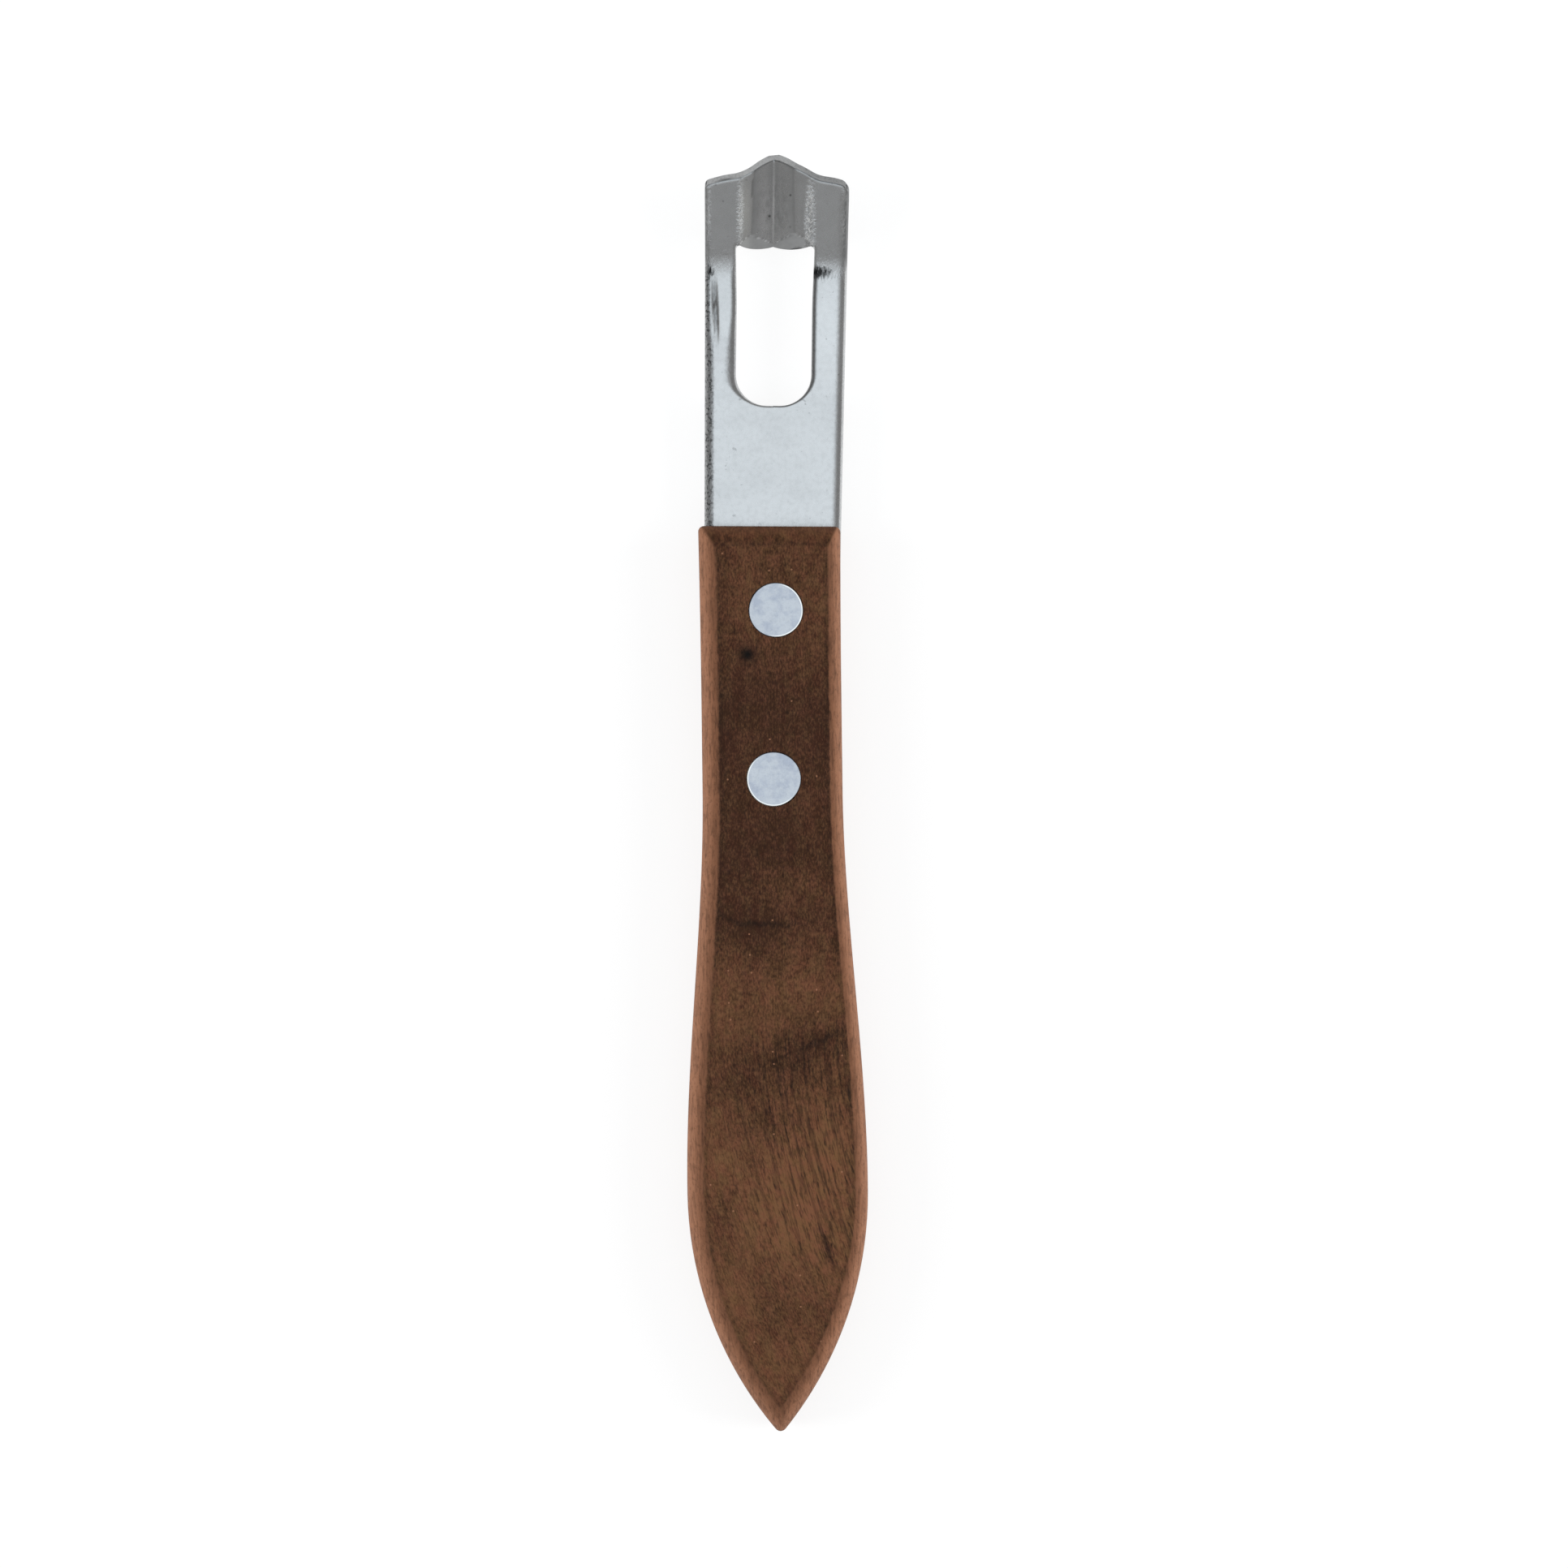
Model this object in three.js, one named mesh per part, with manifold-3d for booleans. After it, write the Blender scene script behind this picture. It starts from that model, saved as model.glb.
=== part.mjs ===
// A channel knife: a bent stainless blade with a pressed V channel, riveted into a slotted walnut handle.
// Millimetres, +Z up. The knife lies on the back of its handle, with the blade towards +Y.
import * as THREE from "three";
import { mergeVertices } from "three/addons/utils/BufferGeometryUtils.js";
import Module from "manifold-3d";

const wasm = await Module();
wasm.setup();

// Handle. Distances along it run from its front end, where the blade comes out, to the pointed butt.
const handleLength = 107.9;
const handleThickness = 11;
const frontWidth = 16.96;
const waistWidth = 16.68;
const waistAt = 20;
const swellWidth = 21.52;
const swellStart = 31.5;
const swellEnd = 78.5;
const buttStart = 79.2; // where the two flanks start to close to a point
const buttTipRadius = 0.75;
const frontCornerRadius = 0.7;

// Worked edges round both faces of the handle
const sideBevel = 2.1; // along the left side
const rightBevel = 1.45; // along the right side, up to the butt
const frontBevel = 2.5;
const bevelDepth = 1.9;
const bevelFullness = 1.7; // superellipse exponent: 1 is a flat chamfer, 2 is a full round

// Blade. Distances along it run from the handle's front end towards the head.
const sheetThickness = 1.5;
const tangLength = 41;
const tangCornerRadius = 2;
const shankWidth = 16.32;
const headWidth = 17.24;
const bendStart = 29.4;
const bendRadius = 7.6;
const headTilt = 24; // degrees, towards the front face
const headLength = 11.3; // from the end of the bend to the middle of the top edge
const headGableDrop = 2.9; // from the middle of the top edge to its corners
const headGableRound = 1.6;
const headCornerLeft = 0.45;
const headCornerRight = 0.95;

// Through slot between the arms, pierced square to the shank
const slotStart = 14.3;
const slotWidth = 8.87;
const slotFlareLength = 6; // the sides flare over this length, up to the end of the bend
const slotOffset = -0.2; // slot and channel sit a little to the left of the blade's middle line
const slotBottomRadius = 3.75;
const slotTopRadius = 0.5;
const lipPastBend = 0.76;
const lipSag = 0.36; // how far the two lobes of the cutting lip hang below its corners
const lipCusp = 0.1;

// Channel pressed into the head, and the bevel ground inside its lip
const channelWidth = 8.9;
const channelWallWidth = 5;
const channelShoulderDrop = 0.5;
const channelDepth = 2.4;
const channelMargin = 0.22; // from each edge of the channel to the side of the slot at the lip
const grindArch = 2;
const grindReach = 0.5; // how far the bevel runs up the crease
const grindAngle = 59; // degrees, from the plane of the shank

// Two-piece cutlery rivets
const rivetHeadDiameter = 6.5;
const rivetHeadHeight = 1.2;
const rivetHeadEdge = 0.12;
const sleeveDiameter = 4;
const studDiameter = 2.6;
const firstRivetAt = 10.15;
const rivetPitch = 20.1;
const rivetOffset = 0.5; // to the right of the tang's middle line
const studEndGap = 0.5;
const rivetSides = 40;

// Assembly: the hand-fitted blade stands a little out of line with the handle.
const bladeOffset = 0.43;
const bladeLean = 1.45; // degrees, to the right
const kerfEndGap = 0.6;
const fitGap = 0.05; // between wood and steel
const tangHoleGap = 0.1;
const studGap = 0.03;

// Values worked out from those above
const halfThickness = handleThickness / 2;
const halfSheet = sheetThickness / 2;
const tilt = THREE.MathUtils.degToRad(headTilt);
const bendEnd = bendStart + bendRadius * Math.sin(tilt);
const bendRise = bendRadius * (1 - Math.cos(tilt));
const lipAt = bendEnd + lipPastBend;
const buttTipCentre = handleLength - buttTipRadius;
const buttReach = buttTipCentre - buttStart;
// Each flank is an arc that leaves the swell straight and runs smoothly into the rounded tip.
const buttRadius =
  ((swellWidth / 2) ** 2 + buttReach ** 2 - buttTipRadius ** 2) / (swellWidth - 2 * buttTipRadius);
const buttTipStart = buttTipCentre + (buttTipRadius * buttReach) / (buttRadius - buttTipRadius);

const cutMargin = 5; // how far a cutter runs past what it cuts
const bladeCutHeight = 60; // taller than the bent blade

// Closed geometry as a solid for cutting and joining
function solid(geometry) {
  const bare = new THREE.BufferGeometry();
  bare.setAttribute("position", geometry.getAttribute("position"));
  bare.setIndex(geometry.index);
  const merged = mergeVertices(bare, 1e-4);
  return new wasm.Manifold(
    new wasm.Mesh({
      numProp: 3,
      vertProperties: merged.getAttribute("position").array,
      triVerts: new Uint32Array(merged.index.array),
    }),
  );
}

// A solid as a named mesh
function pieceOf(name, shape, material) {
  const { vertProperties, triVerts } = shape.getMesh();
  const geometry = new THREE.BufferGeometry();
  geometry.setAttribute("position", new THREE.BufferAttribute(vertProperties, 3));
  geometry.setIndex(new THREE.BufferAttribute(triVerts, 1));
  geometry.computeVertexNormals();
  const mesh = new THREE.Mesh(geometry, material);
  mesh.name = name;
  return mesh;
}

// A flat outline made a solid of that height, centred on the outline's plane
function slab(outline, height, curveSegments = 12) {
  const geometry = new THREE.ExtrudeGeometry(outline, { depth: height, bevelEnabled: false, curveSegments });
  return geometry.translate(0, 0, -height / 2);
}

function upright(radius, height) {
  return new THREE.CylinderGeometry(radius, radius, height, rivetSides).rotateX(Math.PI / 2);
}

// Half the handle's width at a distance from its front end
function handleHalfWidth(along) {
  if (along < waistAt) {
    return waistWidth / 2 + ((frontWidth - waistWidth) / 2) * (1 - along / waistAt) ** 2;
  }
  if (along < buttStart) {
    const swell = THREE.MathUtils.smoothstep(along, swellStart, swellEnd);
    return THREE.MathUtils.lerp(waistWidth / 2, swellWidth / 2, swell);
  }
  if (along < buttTipStart) {
    return swellWidth / 2 - buttRadius + Math.sqrt(buttRadius ** 2 - (along - buttStart) ** 2);
  }
  return Math.sqrt(Math.max(0, buttTipRadius ** 2 - (along - buttTipCentre) ** 2));
}

// The same, moved in square to the edge
function insetHalfWidth(along, inset) {
  const step = 0.01;
  const slope = (handleHalfWidth(along + step) - handleHalfWidth(along - step)) / (2 * step);
  return handleHalfWidth(along) - inset * Math.hypot(1, slope);
}

// Where the two inset flanks meet
function insetTip(inset) {
  let low = buttStart;
  let high = handleLength;
  for (let i = 0; i < 40; i++) {
    const middle = (low + high) / 2;
    if (insetHalfWidth(middle, inset) > 0) low = middle;
    else high = middle;
  }
  return low;
}

// How much narrower the worked edge is along the right side. Near the tip both sides are alike.
function rightShare(along) {
  const nearTip = THREE.MathUtils.smoothstep(along, buttStart, handleLength - bevelDepth);
  return THREE.MathUtils.lerp(rightBevel / sideBevel, 1, nearTip);
}

// One side of the handle's outline at one level, from the front edge to the tip
function handleSide(inset, shareAt) {
  const cornerSteps = 3;
  const sideSteps = 44;
  const start = inset * (frontBevel / sideBevel) + frontCornerRadius;
  const tip = insetTip(inset);
  const cornerX = insetHalfWidth(start, inset * shareAt(start)) - frontCornerRadius;
  const points = [];
  for (let i = 0; i < cornerSteps; i++) {
    const turn = ((i / cornerSteps) * Math.PI) / 2;
    const x = cornerX + frontCornerRadius * Math.sin(turn);
    points.push(new THREE.Vector2(x, frontCornerRadius * Math.cos(turn) - start));
  }
  for (let i = 0; i < sideSteps; i++) {
    const closeAtBothEnds = (1 - Math.cos((i / sideSteps) * Math.PI)) / 2;
    const along = start + (tip - start) * closeAtBothEnds;
    points.push(new THREE.Vector2(insetHalfWidth(along, inset * shareAt(along)), -along));
  }
  return points;
}

// One level of the handle's outline: right side from the front edge to the tip, then the left side back
function handleRing(inset) {
  const right = handleSide(inset, rightShare);
  const left = handleSide(inset, () => 1).map((p) => new THREE.Vector2(-p.x, p.y));
  return [...right, new THREE.Vector2(0, -insetTip(inset)), ...left.reverse()];
}

// Inset and drop at steps round the worked edge, from the face to the side
function bevelSteps() {
  const steps = 5;
  const power = 2 / bevelFullness;
  return Array.from({ length: steps + 1 }, (_, i) => {
    const turn = ((i / steps) * Math.PI) / 2;
    return {
      inset: sideBevel * (1 - Math.sin(turn) ** power),
      drop: bevelDepth * (1 - Math.max(0, Math.cos(turn)) ** power),
    };
  });
}

// The uncut handle, built up from its outline at one level after another
function handleBlank() {
  const edge = bevelSteps();
  const levels = [
    ...edge.map(({ inset, drop }) => ({ inset, z: drop })),
    ...edge.reverse().map(({ inset, drop }) => ({ inset, z: handleThickness - drop })),
  ];
  const rings = levels.map(({ inset }) => handleRing(inset));
  const count = rings[0].length;
  const positions = rings.flatMap((ring, k) => ring.flatMap((p) => [p.x, p.y, levels[k].z]));
  const index = [];
  for (let k = 0; k + 1 < rings.length; k++) {
    for (let i = 0; i < count; i++) {
      const a = k * count + i;
      const b = k * count + ((i + 1) % count);
      index.push(a, a + count, b, b, a + count, b + count);
    }
  }
  const top = (rings.length - 1) * count;
  for (let i = 0; i < (count - 1) / 2; i++) {
    const across = count - 1 - i;
    index.push(i, i + 1, across, top + i, top + across, top + i + 1);
    if (i + 1 < across - 1) {
      index.push(i + 1, across - 1, across, top + i + 1, top + across, top + across - 1);
    }
  }
  const geometry = new THREE.BufferGeometry();
  geometry.setAttribute("position", new THREE.Float32BufferAttribute(positions, 3));
  geometry.setIndex(index);
  return solid(geometry);
}

const rivetPlaces = [
  { name: "front_rivet", along: firstRivetAt },
  { name: "rear_rivet", along: firstRivetAt + rivetPitch },
];

// The handle with its kerf and its counterbored rivet holes, drilled through in line with the tang
function handleShape(bladeFrame) {
  const kerfDepth = tangLength + kerfEndGap;
  const kerf = new THREE.BoxGeometry(
    swellWidth + cutMargin,
    kerfDepth + cutMargin,
    sheetThickness + 2 * fitGap,
  ).translate(0, (cutMargin - kerfDepth) / 2, halfThickness);
  let shape = handleBlank().subtract(solid(kerf));
  for (const { along } of rivetPlaces) {
    const hole = upright(sleeveDiameter / 2 + fitGap, handleThickness + cutMargin);
    shape = shape.subtract(solid(hole.translate(rivetOffset, -along, 0).applyMatrix4(bladeFrame)));
    for (const side of [-1, 1]) {
      const depth = rivetHeadHeight + fitGap + cutMargin;
      const seat = upright(rivetHeadDiameter / 2 + fitGap, depth);
      const height = side * (halfThickness + cutMargin - depth / 2);
      shape = shape.subtract(solid(seat.translate(rivetOffset, -along, height).applyMatrix4(bladeFrame)));
    }
  }
  return shape;
}

// Half the blade's width at a distance from the handle, tapering evenly from head to tang
function bladeHalfWidth(along) {
  const headEnd = bendEnd + headLength * Math.cos(tilt);
  return THREE.MathUtils.lerp(shankWidth, headWidth, along / headEnd) / 2;
}

// Seen from the side: tang, shank, bend and head of one thickness
function sideProfile() {
  const headDirection = new THREE.Vector2(Math.cos(tilt), Math.sin(tilt));
  const headNormal = new THREE.Vector2(-Math.sin(tilt), Math.cos(tilt));
  const bendEndPoint = new THREE.Vector2(bendEnd, bendRise);
  const headEnd = bendEndPoint.clone().addScaledVector(headDirection, headLength + cutMargin);
  const back = headEnd.clone().addScaledVector(headNormal, -halfSheet);
  const front = headEnd.clone().addScaledVector(headNormal, halfSheet);
  const quarter = Math.PI / 2;
  const shape = new THREE.Shape();
  shape.moveTo(-tangLength, -halfSheet);
  shape.lineTo(bendStart, -halfSheet);
  shape.absarc(bendStart, bendRadius, bendRadius + halfSheet, -quarter, tilt - quarter, false);
  shape.lineTo(back.x, back.y);
  shape.lineTo(front.x, front.y);
  shape.absarc(bendStart, bendRadius, bendRadius - halfSheet, tilt - quarter, -quarter, true);
  shape.lineTo(-tangLength, halfSheet);
  return shape;
}

// Turns an outline drawn across and along the head, pushed out of its plane, to where the head stands
function headFrame() {
  return new THREE.Matrix4().makeRotationX(tilt).setPosition(0, bendEnd, bendRise);
}

// Seen from above: tapered sides, and a tang with rounded corners
function planOutline() {
  const far = bendEnd + headLength + cutMargin;
  const end = bladeHalfWidth(-tangLength);
  const shape = new THREE.Shape();
  shape.moveTo(bladeHalfWidth(far), far);
  shape.lineTo(-bladeHalfWidth(far), far);
  shape.lineTo(-end, tangCornerRadius - tangLength);
  shape.quadraticCurveTo(-end, -tangLength, tangCornerRadius - end, -tangLength);
  shape.lineTo(end - tangCornerRadius, -tangLength);
  shape.quadraticCurveTo(end, -tangLength, end, tangCornerRadius - tangLength);
  return shape;
}

// What is trimmed off the top of the head, square to the sheet, to leave its gabled top edge
function headTrim() {
  const half = headWidth / 2;
  const slope = headGableDrop / half;
  const cornerHeight = headLength - headGableDrop;
  const outside = half + cutMargin;
  const top = headLength + 2 * cutMargin;
  const shape = new THREE.Shape();
  shape.moveTo(outside, cornerHeight - headCornerRight);
  shape.lineTo(outside, top);
  shape.lineTo(-outside, top);
  shape.lineTo(-outside, cornerHeight - headCornerLeft);
  shape.lineTo(-half, cornerHeight - headCornerLeft);
  shape.quadraticCurveTo(-half, cornerHeight, headCornerLeft - half, cornerHeight + slope * headCornerLeft);
  shape.lineTo(-headGableRound, headLength - slope * headGableRound);
  shape.quadraticCurveTo(0, headLength, headGableRound, headLength - slope * headGableRound);
  shape.lineTo(half - headCornerRight, cornerHeight + slope * headCornerRight);
  shape.quadraticCurveTo(half, cornerHeight, half, cornerHeight - headCornerRight);
  return slab(shape, 4 * cutMargin).applyMatrix4(headFrame());
}

const channelShoulder = Math.atan2(channelShoulderDrop, (channelWidth - channelWallWidth) / 2);
const channelWall = Math.atan2(channelDepth - channelShoulderDrop, channelWallWidth / 2);
const creaseHeight = halfSheet - channelDepth;

// The channel seen along the head: shoulders, walls and a sharp crease in front, a rounded keel behind
function channelSection() {
  const wallEdge = channelWallWidth / 2;
  const edgeHeight = halfSheet - channelShoulderDrop;
  const mitreTurn = (channelShoulder + channelWall) / 2;
  const mitre = sheetThickness / Math.cos((channelWall - channelShoulder) / 2);
  const mitreX = wallEdge + mitre * Math.sin(mitreTurn);
  const mitreHeight = edgeHeight - mitre * Math.cos(mitreTurn);
  const keelX = sheetThickness * Math.sin(channelWall);
  const keelHeight = creaseHeight - sheetThickness * Math.cos(channelWall);
  const down = -Math.PI / 2;
  const shape = new THREE.Shape();
  shape.moveTo(channelWidth / 2, halfSheet);
  shape.lineTo(wallEdge, edgeHeight);
  shape.lineTo(0, creaseHeight);
  shape.lineTo(-wallEdge, edgeHeight);
  shape.lineTo(-channelWidth / 2, halfSheet);
  shape.lineTo(-channelWidth / 2, -halfSheet);
  shape.lineTo(-mitreX, mitreHeight);
  shape.lineTo(-keelX, keelHeight);
  shape.absarc(0, creaseHeight, sheetThickness, down - channelWall, down + channelWall, false);
  shape.lineTo(mitreX, mitreHeight);
  shape.lineTo(channelWidth / 2, -halfSheet);
  return shape;
}

// A strip of the head with the given section, from where the keel clears the lip to past the top edge
function headStrip(section) {
  const keelDepth = sheetThickness - creaseHeight;
  const start = (lipAt - 2 * lipSag - bendEnd - keelDepth * Math.sin(tilt)) / Math.cos(tilt);
  const end = headLength + cutMargin;
  return slab(section, end - start)
    .rotateX(Math.PI / 2)
    .translate(slotOffset, (start + end) / 2, 0)
    .applyMatrix4(headFrame());
}

function rectangle(width, height) {
  const shape = new THREE.Shape();
  shape.moveTo(-width / 2, -height / 2);
  shape.lineTo(width / 2, -height / 2);
  shape.lineTo(width / 2, height / 2);
  shape.lineTo(-width / 2, height / 2);
  return shape;
}

// The slot's outline: a round bottom, sides that flare at the bend, and the two lobes of the lip
function slotOutline() {
  const half = slotWidth / 2;
  const topHalf = channelWidth / 2 + channelMargin;
  const flareStart = bendEnd - slotFlareLength;
  const quarter = Math.PI / 2;
  const bottom = slotStart + slotBottomRadius;
  const lipHalf = topHalf - slotTopRadius;
  const shape = new THREE.Shape();
  shape.absarc(slotBottomRadius - half, bottom, slotBottomRadius, -2 * quarter, -quarter, false);
  shape.absarc(half - slotBottomRadius, bottom, slotBottomRadius, -quarter, 0, false);
  shape.lineTo(half, flareStart);
  shape.lineTo(topHalf, bendEnd);
  shape.quadraticCurveTo(topHalf, lipAt, lipHalf, lipAt);
  shape.quadraticCurveTo(lipHalf / 2, lipAt - 2 * lipSag + lipCusp, 0, lipAt - lipCusp);
  shape.quadraticCurveTo(-lipHalf / 2, lipAt - 2 * lipSag + lipCusp, -lipHalf, lipAt);
  shape.quadraticCurveTo(-topHalf, lipAt, -topHalf, bendEnd);
  shape.lineTo(-half, flareStart);
  return shape;
}

// The round-nosed grinder that bevels the inside of the lip, reaching a little way up the crease
function lipGrinder() {
  const angle = THREE.MathUtils.degToRad(grindAngle);
  const half = channelWidth / 2;
  const arch = new THREE.Shape();
  arch.absellipse(0, -grindArch, half, grindArch, 0, Math.PI, false);
  arch.lineTo(-half, -slotWidth);
  arch.lineTo(half, -slotWidth);
  const top = lipAt - lipCusp + grindReach;
  const alongHead = (top - bendEnd + creaseHeight * Math.sin(tilt)) / Math.cos(tilt);
  const topHeight = bendRise + alongHead * Math.sin(tilt) + creaseHeight * Math.cos(tilt);
  return slab(arch, 8 * cutMargin, 24)
    .rotateX(angle - Math.PI / 2)
    .translate(slotOffset, top, topHeight);
}

function bladeShape() {
  const along = new THREE.Vector3(0, 1, 0);
  const up = new THREE.Vector3(0, 0, 1);
  const across = new THREE.Vector3(1, 0, 0);
  const standing = new THREE.Matrix4().makeBasis(along, up, across);
  const ribbon = slab(sideProfile(), headWidth + 2 * cutMargin).applyMatrix4(standing);
  const seam = 0.02; // overlap of the joined strips, inside the slot's width
  const middle = headStrip(rectangle(channelWidth - 2 * seam, 2 * cutMargin));
  const channel = headStrip(channelSection());
  const slot = slab(slotOutline(), bladeCutHeight, 16).translate(slotOffset, 0, 0);
  let shape = solid(ribbon).subtract(solid(middle)).add(solid(channel));
  shape = shape.intersect(solid(slab(planOutline(), bladeCutHeight)));
  shape = shape.subtract(solid(headTrim())).subtract(solid(slot)).subtract(solid(lipGrinder()));
  for (const rivet of rivetPlaces) {
    const hole = upright(sleeveDiameter / 2 + tangHoleGap, bladeCutHeight);
    shape = shape.subtract(solid(hole.translate(rivetOffset, -rivet.along, 0)));
  }
  return shape;
}

// A turned piece from its half section: pairs of radius and height, from the axis round to the axis
function turned(section) {
  const points = section.map(([radius, height]) => new THREE.Vector2(radius, height));
  return solid(new THREE.LatheGeometry(points, rivetSides).rotateX(Math.PI / 2));
}

const headUnder = halfThickness - rivetHeadHeight;

// Male half: a flat head in the front face and a solid stem
function rivetStud() {
  const head = rivetHeadDiameter / 2;
  const stem = studDiameter / 2;
  return turned([
    [0, studEndGap - headUnder],
    [stem, studEndGap - headUnder],
    [stem, headUnder],
    [head, headUnder],
    [head, halfThickness - rivetHeadEdge],
    [head - rivetHeadEdge, halfThickness],
    [0, halfThickness],
  ]);
}

// Female half: a flat head in the back face and a tube that takes the stem
function rivetSleeve() {
  const head = rivetHeadDiameter / 2;
  const bore = studDiameter / 2 + studGap;
  const mouth = headUnder - studEndGap;
  return turned([
    [0, -halfThickness],
    [head - rivetHeadEdge, -halfThickness],
    [head, rivetHeadEdge - halfThickness],
    [head, -headUnder],
    [sleeveDiameter / 2, -headUnder],
    [sleeveDiameter / 2, mouth],
    [bore, mouth],
    [bore, -headUnder],
    [0, -headUnder],
  ]);
}

const steel = new THREE.MeshStandardMaterial({ color: 0xb9bfc4, roughness: 0.32, metalness: 1 });
const walnut = new THREE.MeshStandardMaterial({ color: 0x5a3a28, roughness: 0.6, metalness: 0 });
const rivetMetal = new THREE.MeshStandardMaterial({ color: 0xb8c2cd, roughness: 0.45, metalness: 1 });

// The blade and its rivets share the tang's frame, which leans in the handle.
const bladeAssembly = new THREE.Group();
bladeAssembly.position.set(bladeOffset, 0, halfThickness);
bladeAssembly.rotation.z = -THREE.MathUtils.degToRad(bladeLean);
bladeAssembly.updateMatrix();
bladeAssembly.add(pieceOf("channel_blade", bladeShape(), steel));
for (const { name, along } of rivetPlaces) {
  const rivet = new THREE.Group();
  rivet.position.set(rivetOffset, -along, 0);
  rivet.add(pieceOf(`${name}_stud`, rivetStud(), rivetMetal));
  rivet.add(pieceOf(`${name}_sleeve`, rivetSleeve(), rivetMetal));
  bladeAssembly.add(rivet);
}

const assembly = new THREE.Group();
assembly.add(pieceOf("handle", handleShape(bladeAssembly.matrix), walnut), bladeAssembly);

// The origin is at the middle of the knife's length and width, on the surface that it lies on.
const middle = new THREE.Box3().setFromObject(assembly, true).getCenter(new THREE.Vector3());
assembly.position.set(-middle.x, -middle.y, 0);

const channelKnife = new THREE.Group();
channelKnife.add(assembly);

export default channelKnife;
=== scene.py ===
import math

import bmesh
import bpy
from bpy.props import FloatProperty, FloatVectorProperty, PointerProperty
from mathutils import Matrix, Vector


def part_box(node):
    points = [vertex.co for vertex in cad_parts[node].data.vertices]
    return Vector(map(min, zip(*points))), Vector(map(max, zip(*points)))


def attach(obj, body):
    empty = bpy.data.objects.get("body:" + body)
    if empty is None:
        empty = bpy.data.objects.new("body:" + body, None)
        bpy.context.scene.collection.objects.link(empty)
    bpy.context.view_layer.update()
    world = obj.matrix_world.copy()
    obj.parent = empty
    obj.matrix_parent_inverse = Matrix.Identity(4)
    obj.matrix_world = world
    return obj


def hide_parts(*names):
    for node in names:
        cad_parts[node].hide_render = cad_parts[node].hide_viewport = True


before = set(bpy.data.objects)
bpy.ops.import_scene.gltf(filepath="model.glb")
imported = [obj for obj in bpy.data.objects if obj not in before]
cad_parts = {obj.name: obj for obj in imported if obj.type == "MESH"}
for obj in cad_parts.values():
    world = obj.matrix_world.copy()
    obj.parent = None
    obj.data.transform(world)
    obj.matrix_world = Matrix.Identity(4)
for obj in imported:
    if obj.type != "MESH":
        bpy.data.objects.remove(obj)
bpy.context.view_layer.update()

bl_info = {
    "name": "Channel knife",
    "version": (1, 0, 0),
    "blender": (4, 5, 0),
    "location": "View3D > Sidebar > Channel knife",
    "description": "Builds a channel knife: a bent steel blade riveted into a walnut handle",
    "category": "Add Mesh",
}

MM = 0.001
HANDLE_LOW, HANDLE_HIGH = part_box("handle")
RIVETS = ("front_rivet", "rear_rivet")
MERGE_DISTANCE = 0.002 * MM


# Settings that a user may change

def length(name, description, millimetres):
    return FloatProperty(
        name=name, description=description, default=millimetres * MM, unit="LENGTH", precision=5
    )


def angle(name, description, degrees):
    return FloatProperty(name=name, description=description, default=math.radians(degrees), subtype="ANGLE")


def colour(name, description, red, green, blue):
    return FloatVectorProperty(
        name=name, description=description, default=(red, green, blue), subtype="COLOR", min=0.0, max=1.0
    )


class HandleSettings(bpy.types.PropertyGroup):
    """Sizes and colours of the walnut handle."""

    length: length("Length", "From the front end to the butt", (HANDLE_HIGH.y - HANDLE_LOW.y) / MM)
    thickness: length("Thickness", "From the back to the front", (HANDLE_HIGH.z - HANDLE_LOW.z) / MM)
    swell_width: length("Swell width", "Widest part, near the butt", (HANDLE_HIGH.x - HANDLE_LOW.x) / MM)
    front_width: length("Front width", "Width where the blade comes out", 16.96)
    waist_width: length("Waist width", "Narrowest part of the grip", 16.68)
    waist_at: length("Waist place", "From the front end to the narrowest part", 20)
    swell_start: length("Swell start", "From the front end to where the sides start to widen", 31.5)
    swell_end: length("Swell end", "From the front end to where the sides stop widening", 78.5)
    butt_start: length("Butt start", "From the front end to where the sides start to close", 79.2)
    tip_radius: length("Tip radius", "Rounding of the butt's point", 0.75)
    corner_radius: length("Front corners", "Rounding of the two front corners", 0.7)
    front_slant: angle("Front slant", "How far out of square the front end is cut", 1.0)
    side_bevel: length("Side bevel", "Width of the worked edge along the left side", 2.1)
    right_bevel: length("Right bevel", "The same along the right side, up to the butt", 1.55)
    front_bevel: length("Front bevel", "Width of the worked edge at the front end", 2.5)
    bevel_depth: length("Bevel depth", "How far the worked edge drops", 1.9)
    bevel_fullness: FloatProperty(
        name="Bevel fullness", description="1 is a flat chamfer and 2 a full round",
        default=1.7, min=1.0, max=2.5,
    )
    kerf_gap: length("Kerf gap", "Gap between the wood and the tang", 0.05)
    seat_gap: length("Rivet seat gap", "Gap between the wood and a rivet head", 0.035)
    dark: colour("Dark wood", "Colour of the darkest figure", 0.036, 0.0125, 0.0050)
    light: colour("Light wood", "Colour of the lightest figure", 0.18, 0.079, 0.036)
    # The worked edges' colours are paler from sanding and from painted side light.
    edge_inner: colour("Inner edge", "Colour of the worked edges beside the faces", 0.219, 0.094, 0.049)
    edge_outer: colour("Outer edge", "Colour of the worked edges beside the sides", 0.395, 0.183, 0.103)


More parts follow.
